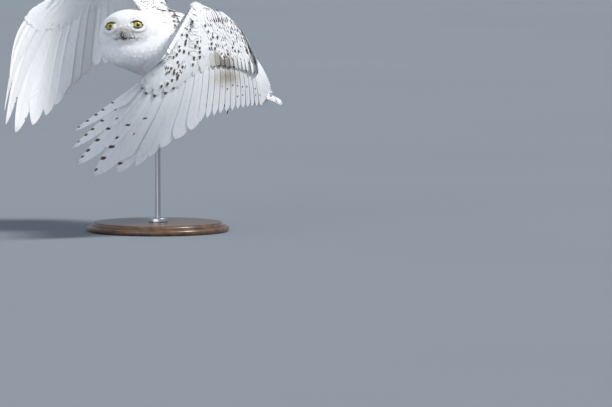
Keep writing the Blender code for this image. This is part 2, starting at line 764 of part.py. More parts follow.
def make_stand():
    """A turned wooden base and one steel rod up into the belly."""
    top = HEAD_MIDDLE[2] + SOCKET_OFFSET[2] + SOCKET_DEPTH
    foot = BASE_HEIGHT / 2
    base = round_bar("stand_base", BASE_RADIUS, 0.0, BASE_HEIGHT, "wood", BASE_EDGE)
    cut(base, [round_bar("hole", ROD_RADIUS + GAP, foot, BASE_HEIGHT + 0.01, "wood")])
    round_bar("stand_rod", ROD_RADIUS, foot + GAP, top - GAP, "steel")
    collar_top = BASE_HEIGHT + COLLAR_HEIGHT
    collar = round_bar("stand_collar", COLLAR_RADIUS, BASE_HEIGHT + GAP, collar_top, "steel", COLLAR_EDGE)
    cut(collar, [round_bar("hole", ROD_RADIUS + GAP, BASE_HEIGHT - 0.01, BASE_HEIGHT + 0.03, "steel")])
    return top


def main():
    """Build the whole owl and its stand, each piece cut clear of those it meets."""
    clear_scene()
    head, neck, trunk, tail = make_head(), make_neck(), make_trunk(), make_tail()
    socket_top = make_stand()
    eyes = []
    for side, mirror in SIDES:
        place = head_place(np.array(EYE_PLACE) * (mirror, 1, 1))[0]
        eyes.append(ball(f"eye_{side}", place, EYE_RADIUS, "eye"))
        thigh, shank = make_leg(side, mirror)
        foot = make_foot(side, mirror, shank, trunk)
        cut(shank, [grown(thigh, GAP), grown(foot, GAP), grown(trunk, GAP)])
        cut(thigh, [grown(trunk, GAP)])
        wing = make_wing(side, mirror)
        cut(wing["forearm"], [grown(wing["hand"], GAP)])
        cut(wing["upper_arm"], [grown(wing["forearm"], GAP), grown(trunk, GAP), grown(neck, GAP)])
    hole = round_bar("hole", ROD_RADIUS + GAP, 0.1, socket_top, "steel")
    cut(trunk, [hole, grown(head, GAP), grown(neck, GAP), grown(tail, GAP)])
    cut(neck, [grown(head, GAP)])
    upper_bill, lower_bill = make_bill()
    cut(lower_bill, [grown(upper_bill, GAP)])
    cut(head, [grown(piece, GAP) for piece in (*eyes, upper_bill, lower_bill)])


main()
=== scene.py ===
"""The looks of the snowy owl model: skin, feathers, eyes, bill, claws, stand and studio.

The owl is laid out in its own frame, (forward, left, up) in metres from the middle of
its head, and bird() turns that into the world.  A wing is a fan of flight feathers,
counted inward along the wing by `place`: 0 is the outermost primary, 9 the innermost,
10 to 21 are the secondaries and 22 to 25 the tertials.  Across the fan, `t` runs from
-1 on the front edge through 0 on the bones to 1 at the feather tips.
"""
import itertools
import math

import bmesh
import bpy
import numpy as np
from mathutils import Matrix, Vector
from mathutils.bvhtree import BVHTree
from mathutils.kdtree import KDTree


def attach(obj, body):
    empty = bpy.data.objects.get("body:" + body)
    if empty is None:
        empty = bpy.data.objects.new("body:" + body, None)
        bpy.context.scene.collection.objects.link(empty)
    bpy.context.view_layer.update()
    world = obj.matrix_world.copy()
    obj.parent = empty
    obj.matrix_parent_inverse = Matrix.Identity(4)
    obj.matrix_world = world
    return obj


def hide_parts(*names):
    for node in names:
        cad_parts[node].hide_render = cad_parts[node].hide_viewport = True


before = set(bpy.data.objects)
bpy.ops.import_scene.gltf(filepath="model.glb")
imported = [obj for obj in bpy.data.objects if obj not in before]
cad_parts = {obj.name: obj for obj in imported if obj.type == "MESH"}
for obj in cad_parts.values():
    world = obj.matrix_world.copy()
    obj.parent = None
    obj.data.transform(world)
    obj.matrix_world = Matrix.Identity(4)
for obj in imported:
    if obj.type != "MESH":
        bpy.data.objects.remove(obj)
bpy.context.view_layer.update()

# ---- pose, as in the solid model ----------------------------------------------
BODY_PITCH, BODY_ROLL = 20.0, 13.0
HEAD_YAW, HEAD_PITCH, HEAD_ROLL = 42.7, 21.9, -3.8
HEAD_HEIGHT = 0.46
HEAD_HALF = np.array((0.0715, 0.0680, 0.0585))
DISC_FLATTEN = 0.10
EYE_RADIUS = 0.0135
EYE_PLACE = np.array((0.0290, -0.0450, 0.0020))
BILL_PLACE = np.array((0.0, -0.0525, -0.0165))
SOCKET_SPOT = (-0.130, 0.0, -0.090)
TRUNK_STATIONS = np.array((      # forward, height of axis, half width, half depth
    (0.042, -0.046, 0.014, 0.012),
    (0.036, -0.045, 0.036, 0.024),
    (0.021, -0.040, 0.060, 0.040),
    (-0.005, -0.028, 0.077, 0.055),
    (-0.040, -0.010, 0.086, 0.073),
    (-0.080, 0.003, 0.089, 0.086),
    (-0.125, 0.004, 0.089, 0.086),
    (-0.180, 0.003, 0.084, 0.080),
    (-0.240, 0.008, 0.068, 0.058),
    (-0.295, 0.000, 0.050, 0.040),
    (-0.335, -0.010, 0.035, 0.027),
    (-0.352, -0.013, 0.020, 0.014),
))
NECK_PLACE = np.array((-0.050, 0.0, 0.004))
NECK_HALF = np.array((0.060, 0.077, 0.077))
SHOULDER = np.array((-0.085, 0.045, 0.030))
ELBOW = np.array((-0.147, 0.190, 0.093))
WRIST = np.array((0.006, 0.224, 0.120))
HAND_TIP = np.array((0.048, 0.270, 0.011))
PRIMARIES, SECONDARIES, TERTIALS = 10, 12, 4
ULNA_RISE = np.array((-0.35, 0.10, 0.93))
TERTIAL_SWELL, TERTIAL_TAPER = 0.03, 0.06
INNER_PRIMARY_AIM = np.array((-0.348, 0.117, -0.930))
OUTER_PRIMARY_AIM = np.array((0.336, -0.154, -0.929))
ELBOW_FEATHER_AIM = np.array((-0.770, 0.000, -0.630))
SHOULDER_FEATHER_AIM = np.array((-0.998, -0.050, 0.020))
HAND_LEAD, ARM_LEAD = 0.012, 0.008
ARM_THICKNESS, HAND_THICKNESS, TIP_THICKNESS = 0.028, 0.015, 0.0014
TIP_SLIMMING = 0.30
DORSAL_SHARE = 0.80
OUTER_BOW, INNER_BOW = 0.055, 0.022
SECONDARY_TAPER = 0.080
FAN_BUNCHING = 0.035
ULNA_ARCH = 0.008
RECTRICES = 12
TAIL_ROOT = (-0.250, -0.012)
TAIL_LENGTH = 0.200
TAIL_HALF_ANGLE, TAIL_DROOP = 10.0, 2.0
VANE_TILT = 16.0                  # how far the tail's vanes fall away to each side, in degrees
HIP = np.array((-0.195, 0.042, -0.045))
ANKLE = np.array((-0.218, 0.036, -0.062))
FOOT = np.array((-0.262, 0.033, -0.051))
THIGH_STATIONS = ((-0.35, 0.016), (-0.2, 0.030), (0.1, 0.036), (0.5, 0.032), (0.85, 0.022), (1.0, 0.012))
SHANK_STATIONS = ((-0.12, 0.010), (0.0, 0.017), (0.35, 0.018), (0.75, 0.016), (0.9, 0.011))
PAD_STATIONS = ((-0.004, 0.011), (0.004, 0.0165), (0.016, 0.016), (0.026, 0.010))
TOE_LENGTH = 0.028
TOE_HALVES = (0.0095, 0.0100, 0.0092, 0.0055)
TOE_AIMS = (("inner", -0.45, 0.88, 0.00, 0.010, 0.0), ("middle", -0.12, 1.00, -0.05, 0.010, 0.0),
            ("outer", 0.38, 0.90, 0.00, 0.010, 0.0), ("hind", 0.05, 0.88, 0.26, -0.002, 0.010))
TOE_BEND = 0.35
CLAW_CURL, CLAW_HOOK = 0.6, 0.8
CLAW_SPINE = ((0.001, 0, 0), (0.007, 0, 0), (0.011, 0.005, 0), (0.012, 0.010, 0.003), (0.011, 0.012, 0.008))
CLAW_HALVES = (0.0030, 0.0028, 0.0022, 0.0014, 0.0006)
BILL_HALVES = (("bill_upper", 0.030, 0.0, 0.75, 0.0065, 0.0),
               ("bill_lower", 0.018, 0.0027, 0.35, 0.0050, 0.0105))
BASE_RADIUS, BASE_HEIGHT = 0.165, 0.022
COLLAR_RADIUS, COLLAR_HEIGHT = 0.022, 0.010
ROD_RADIUS = 0.006
SOCKET_DEPTH = 0.045
SIDES = (("left", 1), ("right", -1))

HAND_END = PRIMARIES - 0.5
FOREARM_END = HAND_END + SECONDARIES
ARM_END = FOREARM_END + TERTIALS

# ---- the coat -------------------------------------------------------------------
HEAD_DEPTH, BODY_DEPTH, LEG_DEPTH, TOE_DEPTH = 0.0040, 0.0065, 0.004, 0.002
SKIN_VOXEL = 0.0045
PIECE_TRIANGLES = 180000          # a coat piece is split above this
PATCH = 0.003                     # width of one tuft's place on the OFBake map
FACE_GAP, CROWN_GAP, TRUNK_GAP, COVERT_GAP, LEG_GAP = 0.0019, 0.0030, 0.0043, 0.0085, 0.0030   # between roots
TRIES = 90000                     # roots tried for a dense coat

rng = np.random.default_rng(7)


# ---- small geometry -------------------------------------------------------------
def unit(vectors):
    """The vectors at length one."""
    vectors = np.asarray(vectors, float)
    return vectors / np.maximum(np.linalg.norm(vectors, axis=-1, keepdims=True), 1e-12)


def dot(first, second):
    """Dot products along the last axis, kept as a column."""
    return np.sum(first * second, axis=-1, keepdims=True)


def square(vectors, normals):
    """The vectors' unit parts at right angles to the normals."""
    return unit(vectors - normals * dot(vectors, normals))


def smooth(low, high, value):
    """0 below `low`, 1 above `high`, eased between."""
    share = np.clip((np.asarray(value, float) - low) / (high - low), 0.0, 1.0)
    return share * share * (3 - 2 * share)


def bell(values, middle, width):
    """A smooth bump of height 1 about the middle."""
    return np.exp(-((values - middle) / width) ** 2)


def slerp(first, second, share):
    """Directions part of the way from one unit vector to another."""
    first, second = unit(first), unit(second)
    share = np.asarray(share, float)[..., None]
    angle = np.arccos(np.clip(dot(first, second), -1.0, 1.0))
    return (np.sin((1 - share) * angle) * first + np.sin(share * angle) * second) / np.sin(angle)


def rotation(yaw, pitch, roll):
    """Rotation for a bird that heads towards -Y: yaw to its left, nose up, left wing down."""
    return np.array(Matrix.Rotation(math.radians(yaw), 3, "Z")
                    @ Matrix.Rotation(math.radians(-pitch), 3, "X")
                    @ Matrix.Rotation(math.radians(roll), 3, "Y"))


BODY = rotation(0.0, BODY_PITCH, BODY_ROLL)
HEAD = rotation(HEAD_YAW, HEAD_PITCH, HEAD_ROLL)


def bird_aim(vectors):
    """World directions of directions in the bird's frame."""
    vectors = np.asarray(vectors, float)
    return np.stack([vectors[..., 1], -vectors[..., 0], vectors[..., 2]], axis=-1) @ BODY.T


SOCKET_OFFSET = bird_aim(SOCKET_SPOT)
HEAD_MIDDLE = np.array([-SOCKET_OFFSET[0], -SOCKET_OFFSET[1], HEAD_HEIGHT])


def bird(points):
    """World places of points in the bird's frame."""
    return bird_aim(points) + HEAD_MIDDLE


def to_bird(points):
    """Places in the bird's frame of world points."""
    local = (np.asarray(points, float) - HEAD_MIDDLE) @ BODY
    return np.stack([-local[..., 1], local[..., 0], local[..., 2]], axis=-1)


def head_place(points):
    """World places of points in the head's frame (left, back, up)."""
    return np.asarray(points, float) @ HEAD.T + HEAD_MIDDLE


def to_head(points):
    """Places in the head's frame of world points."""
    return (np.asarray(points, float) - HEAD_MIDDLE) @ HEAD


# ---- the wing's surface, in the bird's frame ------------------------------------
def pair(place, t):
    """Place and t as arrays of one shape."""
    return np.broadcast_arrays(np.asarray(place, float), np.asarray(t, float))


def by_stretch(place, hand, forearm, upper):
    """The value for the stretch of the wing that each place is on."""
    return np.where(place <= HAND_END, hand, np.where(place <= FOREARM_END, forearm, upper))


def feather_root(place):
    """Where a feather leaves the bones."""
    place = np.asarray(place, float)[..., None]
    hand = WRIST + (HAND_TIP - WRIST) * (HAND_END - place) / HAND_END
    share = (place - HAND_END) / SECONDARIES
    arch = ULNA_RISE * ULNA_ARCH * np.sin(np.pi * np.clip(share, 0, 1))
    forearm = WRIST + (ELBOW - WRIST) * share + arch
    return by_stretch(place, hand, forearm, ELBOW + (SHOULDER - ELBOW) * (place - FOREARM_END) / TERTIALS)


def primary_reach(number):
    """Distance from the wrist to the tip of a primary, counted outward from 1."""
    number = np.asarray(number, float)
    past = np.maximum(0.0, number - 7)
    return 0.278 + 0.022 * (number - 1) + 0.001 * (number - 1) ** 2 - 0.037 * past ** 1.38


def fan_share(number):
    """How far a primary has turned from the first primary's aim to the last one's."""
    share = (np.asarray(number, float) - 1) / (PRIMARIES - 1)
    return share - FAN_BUNCHING * np.cos(math.tau * (share - 0.5) / 0.6)


def feather_tip(place):
    """Where a feather ends."""
    place = np.asarray(place, float)
    number = PRIMARIES - place
    aim = slerp(INNER_PRIMARY_AIM, OUTER_PRIMARY_AIM, fan_share(number))
    hand = WRIST + aim * primary_reach(number)[..., None]
    inner_aim = slerp(INNER_PRIMARY_AIM, OUTER_PRIMARY_AIM, fan_share(0.5))
    share = np.clip((place - HAND_END) / SECONDARIES, 0, 1)
    length = primary_reach(0.5) - SECONDARY_TAPER * share ** 0.65
    forearm = feather_root(place) + slerp(inner_aim, ELBOW_FEATHER_AIM, share) * length[..., None]
    share = np.clip((place - FOREARM_END) / TERTIALS, 0, 1)
    swell = TERTIAL_SWELL * np.sin(math.pi * np.minimum(share, 0.6) / 1.2)
    length = primary_reach(0.5) - SECONDARY_TAPER + swell - TERTIAL_TAPER * share ** 3
    aim = slerp(ELBOW_FEATHER_AIM, SHOULDER_FEATHER_AIM, share ** 0.6)
    return by_stretch(place[..., None], hand, forearm, feather_root(place) + aim * length[..., None])


def leading_edge(place):
    """The wing's front edge ahead of a feather."""
    bone = unit(HAND_TIP - WRIST)
    hand_ahead = unit(np.cross(bone, unit(np.cross(bone, INNER_PRIMARY_AIM))))
    place = np.asarray(place, float)
    share = ((place - HAND_END) / (ARM_END - HAND_END))[..., None]
    arm_ahead = unit(hand_ahead + np.array([0.6, 0.0, 0.0]))
    ahead = unit(hand_ahead * (1 - share) + arm_ahead * share)
    arm = WRIST + (SHOULDER - WRIST) * share + ahead * (HAND_LEAD + (ARM_LEAD - HAND_LEAD) * share)
    return np.where(place[..., None] <= HAND_END, feather_root(place) + hand_ahead * HAND_LEAD, arm)


def wing_point(place, t):
    """A point of the wing's middle surface."""
    place, t = pair(place, t)
    root = feather_root(place)
    share = np.clip(t, 0, 1)
    bone = unit(HAND_TIP - WRIST)
    inner_side = np.cross(bone, INNER_PRIMARY_AIM)
    outer_side = np.cross(OUTER_PRIMARY_AIM, INNER_PRIMARY_AIM)
    outward = np.clip(1.0 - np.maximum(0.0, place) / HAND_END, 0, 1)
    bow = INNER_BOW + (OUTER_BOW - INNER_BOW) * outward ** 1.5
    lift = slerp(inner_side, outer_side, outward) * (bow * np.sin(np.pi * share ** 0.85))[..., None]
    vane = root + (feather_tip(place) - root) * share[..., None] + lift
    return vane + (leading_edge(place) - root) * np.clip(-t, 0, 1)[..., None]


def wing_normal(place, t, reach=1.5):
    """The dorsal direction of the wing's middle surface."""
    place, t = pair(place, t)
    along = wing_point(place, np.minimum(t + 0.08, 1)) - wing_point(place, np.maximum(t - 0.08, -1))
    inward, outward_place = np.minimum(place + reach, ARM_END), np.maximum(place - reach, -0.5)
    return unit(np.cross(along, wing_point(inward, t) - wing_point(outward_place, t)))


def wing_thickness(place, t):
    """Full thickness of the solid wing."""
    place, t = pair(place, t)
    flesh = HAND_THICKNESS + (ARM_THICKNESS - HAND_THICKNESS) * np.clip((place - HAND_END) / 6, 0, 1)
    flesh = flesh * (TIP_SLIMMING + (1 - TIP_SLIMMING) * np.clip((place + 0.5) / 5, 0, 1))
    front = flesh * np.interp(t, (-1, -0.55, 0), (0.30, 0.80, 1.0))
    back = TIP_THICKNESS + (flesh - TIP_THICKNESS) * (1 - np.clip(t, 0, 1)) ** 3
    return np.where(t < 0, front, back)


def on_wing(place, t, level, mirror):
    """World place and outward normal on the wing: level 1 is its upper surface, -1 its lower one."""
    normal, level, flip = wing_normal(place, t), np.asarray(level, float), (1, mirror, 1)
    height = np.where(level > 0, DORSAL_SHARE, 1 - DORSAL_SHARE) * wing_thickness(place, t) * level
    point = wing_point(place, t) + normal * height[..., None]
    return bird(point * flip), bird_aim(normal * flip) * np.sign(level)[..., None]


# ---- meshes -----------------------------------------------------------------------
class Sheaf:
    """Gathers triangles with their maps and markings, and makes objects of them."""

    def __init__(self):
        self.stores = [[] for _ in range(7)]
        self.count = 0

    def add(self, triangles, *fields):
        """Add copies of a pattern: triangles, then points (n, k, 3), coat normals, vane, bake, mark, tone."""
        copies, size = fields[0].shape[:2]
        starts = self.count + np.arange(copies)[:, None, None] * size
        self.stores[0].append((triangles[None] + starts).reshape(-1, 3))
        for store, values, width in zip(self.stores[1:], fields, (3, 3, 2, 2, 1, 1)):
            shape = (copies, size, width) if width > 1 else (copies, size)
            store.append(np.broadcast_to(values, shape).reshape(-1, width))
        self.count += copies * size

    def build(self, name, finish, slot, nodes=(), softness=0.6):
        """One object, or several if it holds too many triangles, shaded partly as the coat's surface."""
        triangles, points, guide, *maps = (np.concatenate(store) for store in self.stores)
        pieces = -(-len(triangles) // PIECE_TRIANGLES)
        for number, part in enumerate(np.array_split(triangles, pieces)):
            used, local = np.unique(part, return_inverse=True)
            title = name if pieces == 1 else f"{name}_{number + 1}"
            thing = mesh_object(title, points[used], local.reshape(-1, 3), finish, slot)
            give_maps(thing, *(values[used] for values in maps))
            own = read(thing.data.vertices, "normal", 3)
            shown = unit(own * (1 - softness) + guide[used] * softness)
            thing.data.normals_split_custom_set_from_vertices(shown)
            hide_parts(*nodes)


def read(items, label, width, kind=float):
    """One value of every item of a mesh."""
    values = np.zeros(len(items) * width, dtype=kind)
    items.foreach_get(label, values)
    return values.reshape(-1, width) if width > 1 else values


def give_maps(thing, vane, bake, mark, tone=0.0):
    """Put maps and attributes on every point of an object."""
    mesh = thing.data
    corners = read(mesh.loops, "vertex_index", 1, np.int64)
    count = len(mesh.vertices)
    for label, values in (("OFBake", bake), ("Vane", vane)):
        values = np.broadcast_to(values, (count, 2))[corners]
        mesh.uv_layers.new(name=label).data.foreach_set("uv", values.astype(np.float32).ravel())
    for label, values in (("mark", mark), ("tone", tone)):
        values = np.broadcast_to(np.ravel(values), count).astype(np.float32)
        mesh.attributes.new(label, "FLOAT", "POINT").data.foreach_set("value", values)


def read_mesh(thing):
    """A mesh's points, vertex normals and triangles."""
    mesh = thing.data
    mesh.calc_loop_triangles()
    return (read(mesh.vertices, "co", 3), read(mesh.vertices, "normal", 3),
            read(mesh.loop_triangles, "vertices", 3, np.int64))


def add_object(name, data):
    """A new object in the scene."""
    thing = bpy.data.objects.new(name, data)
    bpy.context.scene.collection.objects.link(thing)
    return thing


def mesh_object(name, points, faces, finish, slot):
    """A smooth-shaded object that rides on the owl."""
    mesh = bpy.data.meshes.new(name)
    points = np.asarray(points, np.float32)
    if isinstance(faces, np.ndarray):
        mesh.vertices.add(len(points))
        mesh.vertices.foreach_set("co", points.ravel())
        mesh.loops.add(faces.size)
        mesh.loops.foreach_set("vertex_index", faces.astype(np.int32).ravel())
        mesh.polygons.add(len(faces))
        mesh.polygons.foreach_set("loop_start", np.arange(0, faces.size, faces.shape[1], dtype=np.int32))
        mesh.update(calc_edges=True)
    else:
        mesh.from_pydata(points.tolist(), [], faces)
    mesh.validate()
    mesh.shade_smooth()
    mesh.materials.append(finish)
    thing = add_object(name, mesh)
    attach(thing, "root")
    return thing


def grid_faces(rows, columns, flip=False):
    """Triangles of a grid of points, row by row."""
    row, column = np.meshgrid(np.arange(rows - 1), np.arange(columns - 1), indexing="ij")
    corner = (row * columns + column).ravel()
    first = np.stack([corner, corner + 1, corner + columns + 1], axis=1)
    second = np.stack([corner, corner + columns + 1, corner + columns], axis=1)
    faces = np.concatenate([first, second])
    return faces[:, ::-1] if flip else faces


def loft(rings):
    """Points and faces of a closed solid through rings of equal point counts."""
    count, sides = rings.shape[:2]
    last = (count - 1) * sides
    faces = [(row + side, row + (side + 1) % sides, row + sides + (side + 1) % sides, row + sides + side)
             for row in range(0, last, sides) for side in range(sides)]
    ends = tuple(range(sides))[::-1], tuple(range(last, last + sides))
    return rings.reshape(-1, 3), [ends[0], *faces, ends[1]]


def outward(thing):
    """Turn a closed object's faces outwards."""
    work = bmesh.new()
    work.from_mesh(thing.data)
    bmesh.ops.recalc_face_normals(work, faces=work.faces)
    work.to_mesh(thing.data)
    work.free()
    return thing


def solid(name, rings, finish, slot, node=None):
    """A closed solid through rings, which stands for a node of the model."""
    thing = outward(mesh_object(name, *loft(rings), finish, slot))
    if node:
        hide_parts(node)
    return thing


def headings(line):
    """The direction of a line at each of its points."""
    ends = np.concatenate([line[:1], line, line[-1:]])
    return unit(ends[2:] - ends[:-2])


def ellipses(middles, across, upward, half_across, half_up, sides):
    """Rings round a line of middles, each spanned by two directions."""
    angle = (np.arange(sides) / sides * math.tau)[:, None]
    wide = np.broadcast_to(across, middles.shape) * np.asarray(half_across)[:, None]
    high = np.broadcast_to(upward, middles.shape) * np.asarray(half_up)[:, None]
    return middles[:, None] + wide[:, None] * np.cos(angle) + high[:, None] * np.sin(angle)


def travel(line):
    """Distance along a line at each of its points."""
    return np.concatenate([[0], np.cumsum(np.linalg.norm(np.diff(line, axis=0), axis=1))])


def spread(points, count):
    """Points evenly placed along a smooth line through a few points."""
    points = np.asarray(points, float)
    where = travel(points)
    slopes = np.gradient(points, where, axis=0)
    value = np.linspace(0, where[-1], count)
    index = np.minimum(np.searchsorted(where, value, side="right") - 1, len(points) - 2)
    width = (where[index + 1] - where[index])[:, None]
    u = (value - where[index])[:, None] / width
    return ((2 * u ** 3 - 3 * u ** 2 + 1) * points[index] + (u ** 3 - 2 * u ** 2 + u) * width * slopes[index]
            + (3 * u ** 2 - 2 * u ** 3) * points[index + 1] + (u ** 3 - u ** 2) * width * slopes[index + 1])


# ---- materials --------------------------------------------------------------------
class Nodes:
    """Short ways to wire a material."""

    def __init__(self, name, **constants):
        self.material = bpy.data.materials.new(name)
        self.material.use_nodes = True
        self.tree = self.material.node_tree
        self.shader = self.tree.nodes["Principled BSDF"]
        for label, value in constants.items():
            self.shader.inputs[label.replace("_", " ")].default_value = value

    def make(self, kind, inputs=(), output=0, **settings):
        """A node's output, with its inputs given as numbers or links by name or index."""
        node = self.tree.nodes.new(kind)
        for key, value in settings.items():
            setattr(node, key, value)
        for key, value in dict(inputs).items():
            if isinstance(value, bpy.types.NodeSocket):
                self.tree.links.new(value, node.inputs[key])
            else:
                node.inputs[key].default_value = value
        return node.outputs[output]

    def math(self, operation, first, second):
        """The result of a maths node."""
        return self.make("ShaderNodeMath", {0: first, 1: second}, operation=operation)

    def mix(self, share, first, second):
        """Two colours mixed."""
        return self.make("ShaderNodeMix", {0: share, 6: first, 7: second}, 2, data_type="RGBA")

    def ramp(self, value, low, high):
        """The value taken from low..high to 0..1, smoothly."""
        return self.make("ShaderNodeMapRange", {0: value, 1: low, 2: high}, interpolation_type="SMOOTHSTEP")

    def attribute(self, name):
        """The named attribute's number."""
        return self.make("ShaderNodeAttribute", output="Fac", attribute_name=name)

    def place(self):
        """Coordinates fixed to the object."""
        return self.make("ShaderNodeTexCoord", output="Object")

    def stretched(self, vector, *scale):
        """Coordinates scaled along each axis."""
        return self.make("ShaderNodeMapping", {"Vector": vector, "Scale": scale})

    def vane(self, along):
        """Coordinates on the feather's vane, drawn out along it."""
        return self.stretched(self.make("ShaderNodeUVMap", uv_map="Vane"), 1.0, along, 1.0)

    def noise(self, vector, scale, detail=2.0, roughness=0.5):
        """A noise texture's value."""
        return self.make("ShaderNodeTexNoise", {"Vector": vector, "Scale": scale, "Detail": detail,
                                                "Roughness": roughness})

    def link(self, socket, label):
        """Link a socket to one of the shader's."""
        self.tree.links.new(socket, self.shader.inputs[label])

    def finish(self, base, grain=None, strength=0.0, distance=0.0, rough=None):
        """The material, with its colour, a bump from the grain and roughness (swing, lowest) from it."""
        self.link(base, "Base Color")
        if rough:
            self.link(self.math("ADD", self.math("MULTIPLY", grain, rough[0]), rough[1]), "Roughness")
        if strength:
            heights = {"Height": grain, "Strength": strength, "Distance": distance}
            self.link(self.make("ShaderNodeBump", heights), "Normal")
        return self.material


def rgb(red, green, blue):
    """A colour with full alpha."""
    return (red, green, blue, 1.0)


PLUMAGE_WHITE = rgb(0.86, 0.86, 0.87)
PLUMAGE_CREAM = rgb(0.54, 0.50, 0.43)
PLUMAGE_DOWN = rgb(0.74, 0.75, 0.78)
BAR_BROWN = rgb(0.085, 0.065, 0.050)
BAR_PALE = rgb(0.30, 0.25, 0.20)


def feather_material(name, barb, streak):
    """Feather: white with brown marks, fine barbs across the vane and soft streaks along them."""
    nodes = Nodes(name, Roughness=0.80, Sheen_Weight=0.15, Sheen_Roughness=0.6, Specular_IOR_Level=0.25)
    vane = nodes.vane(0.22)
    lines = nodes.noise(vane, barb, 3.0, 0.65)
    ragged = nodes.math("MULTIPLY", nodes.math("SUBTRACT", lines, 0.5), 0.55)
    marks = nodes.math("ADD", nodes.attribute("mark"), ragged)
    shade = nodes.math("MULTIPLY", nodes.math("SUBTRACT", nodes.noise(vane, barb * 0.22), 0.42), streak)
    base = nodes.mix(nodes.ramp(nodes.attribute("tone"), 0.0, 1.0), PLUMAGE_WHITE, PLUMAGE_CREAM)
    base = nodes.mix(nodes.ramp(shade, 0.0, 0.35), base, PLUMAGE_DOWN)
    base = nodes.mix(nodes.math("MULTIPLY", nodes.ramp(marks, 0.22, 0.48), 0.45), base, BAR_PALE)
    return nodes.finish(nodes.mix(nodes.ramp(marks, 0.40, 0.60), base, BAR_BROWN), lines, 0.35, 0.0006)


def horn_material():
    """Black horn of bill and claws: glossy, a little paler and scuffed along its length."""
    nodes = Nodes("horn_dark")
    grain = nodes.noise(nodes.place(), 900.0, 3.0)
    base = nodes.mix(nodes.ramp(grain, 0.45, 0.75), rgb(0.018, 0.018, 0.021), rgb(0.060, 0.060, 0.066))
    return nodes.finish(base, grain, 0.15, 0.0002, (0.25, 0.20))


def lid_material():
    """Bare dark skin round the eye, painted paler below it as lit, wrinkled and slightly moist."""
    nodes = Nodes("eyelid", Specular_IOR_Level=0.5)
    folds = nodes.noise(nodes.place(), 1400.0, 3.0)
    dark = nodes.mix(folds, rgb(0.012, 0.010, 0.010), rgb(0.045, 0.038, 0.034))
    # Paler where the tone is high, on the lower lid: painted light; above, the dark skin stays dark.
    base = nodes.mix(nodes.attribute("tone"), dark, rgb(0.20, 0.18, 0.13))
    return nodes.finish(base, folds, 0.4, 0.0003, (0.3, 0.35))


def eye_material():
    """Yellow iris with fine radial fibres and a dark rim, black pupil, wet surface."""
    nodes = Nodes("eye", Roughness=0.30, Coat_Weight=0.6, Coat_Roughness=0.12, Coat_IOR=1.38)
    reach = nodes.attribute("mark")
    fibres = nodes.noise(nodes.vane(0.06), 26.0, 4.0, 0.7)
    base = nodes.mix(nodes.ramp(fibres, 0.35, 0.70), rgb(0.58, 0.50, 0.035), rgb(0.34, 0.29, 0.02))
    base = nodes.mix(nodes.ramp(reach, 0.70, 0.96), base, rgb(0.12, 0.10, 0.012))
    # Near-black past the iris where the lids cover the eyeball: painted shade under the lids.
    base = nodes.mix(nodes.ramp(reach, 0.99, 1.04), base, rgb(0.012, 0.009, 0.008))
    return nodes.finish(nodes.mix(nodes.ramp(reach, 0.30, 0.33), rgb(0.003, 0.003, 0.004), base))


def wood_material():
    """Dark turned walnut under satin lacquer, with long grain and pores."""
    nodes = Nodes("wood", Coat_Weight=0.35, Coat_Roughness=0.18)
    rings = nodes.noise(nodes.stretched(nodes.place(), 1.0, 9.0, 9.0), 5.0, 6.0, 0.6)
    pores = nodes.noise(nodes.stretched(nodes.place(), 1.0, 30.0, 30.0), 22.0, 3.0)
    base = nodes.mix(nodes.ramp(rings, 0.32, 0.68), rgb(0.050, 0.024, 0.012), rgb(0.150, 0.078, 0.038))
    base = nodes.mix(nodes.ramp(pores, 0.60, 0.72), base, rgb(0.022, 0.011, 0.006))
    return nodes.finish(base, pores, 0.12, 0.0004, (0.25, 0.28))


def steel_material():
    """Brushed steel of the rod and collar."""
    nodes = Nodes("steel", Metallic=1.0)
    brushed = nodes.noise(nodes.stretched(nodes.place(), 1.0, 1.0, 60.0), 60.0, 3.0)
    base = nodes.mix(brushed, rgb(0.42, 0.42, 0.44), rgb(0.66, 0.66, 0.68))
    return nodes.finish(base, brushed, 0.08, 0.0002, (0.22, 0.22))


def studio_material():
    """Plain pale blue-grey floor."""
    nodes = Nodes("studio_floor", Roughness=0.9, Specular_IOR_Level=0.1)
    cloud = nodes.noise(nodes.place(), 0.6)
    return nodes.finish(nodes.mix(cloud, rgb(0.215, 0.240, 0.270), rgb(0.240, 0.266, 0.296)))


SOFT = feather_material("plumage_soft", 900.0, 0.55)
STIFF = feather_material("plumage_stiff", 700.0, 0.75)
HORN, LID, EYE = horn_material(), lid_material(), eye_material()


# ---- the map that every tuft has a place on ---------------------------------------
CHARTS = {                        # left, low, width, height on the OFBake map
    ("wing", "left", 1): (0.002, 0.502, 0.244, 0.496), ("wing", "left", -1): (0.252, 0.502, 0.244, 0.496),
    ("wing", "right", 1): (0.502, 0.502, 0.244, 0.496), ("wing", "right", -1): (0.752, 0.502, 0.244, 0.496),
    "trunk": (0.002, 0.152, 0.44, 0.34), "head": (0.452, 0.152, 0.34, 0.34),
    ("tail", 1): (0.802, 0.152, 0.094, 0.34), ("tail", -1): (0.902, 0.152, 0.094, 0.34),
    ("leg", "left"): (0.002, 0.002, 0.40, 0.14), ("leg", "right"): (0.412, 0.002, 0.40, 0.14),
    "other": (0.822, 0.002, 0.17, 0.14),
}
LEG_MIDDLE = (0.043, -0.066)         # left and up, where the legs' charts are centred


def chart(key, across, along):
    """A place on the map, from 0..1 both ways in one chart."""
    left, low, width, height = CHARTS[key]
    across, along = pair(across, along)
    return np.stack([left + np.clip(across, 0, 1) * width, low + np.clip(along, 0, 1) * height], axis=-1)


def wing_chart(side, level, place, t):
    """The wing's chart, upper or lower side."""
    return chart(("wing", side, level), (place + 0.5) / (ARM_END + 0.5), (t + 1) / 2)


def trunk_reach(points):
    """How far out points lie on the trunk: 1 is its outer surface.  Points are in the bird's frame."""
    stations = TRUNK_STATIONS[::-1]
    height, wide, deep = (np.interp(points[..., 0], stations[:, 0], stations[:, k]) for k in (1, 2, 3))
    return np.hypot(points[..., 1] / wide, (points[..., 2] - height) / deep)


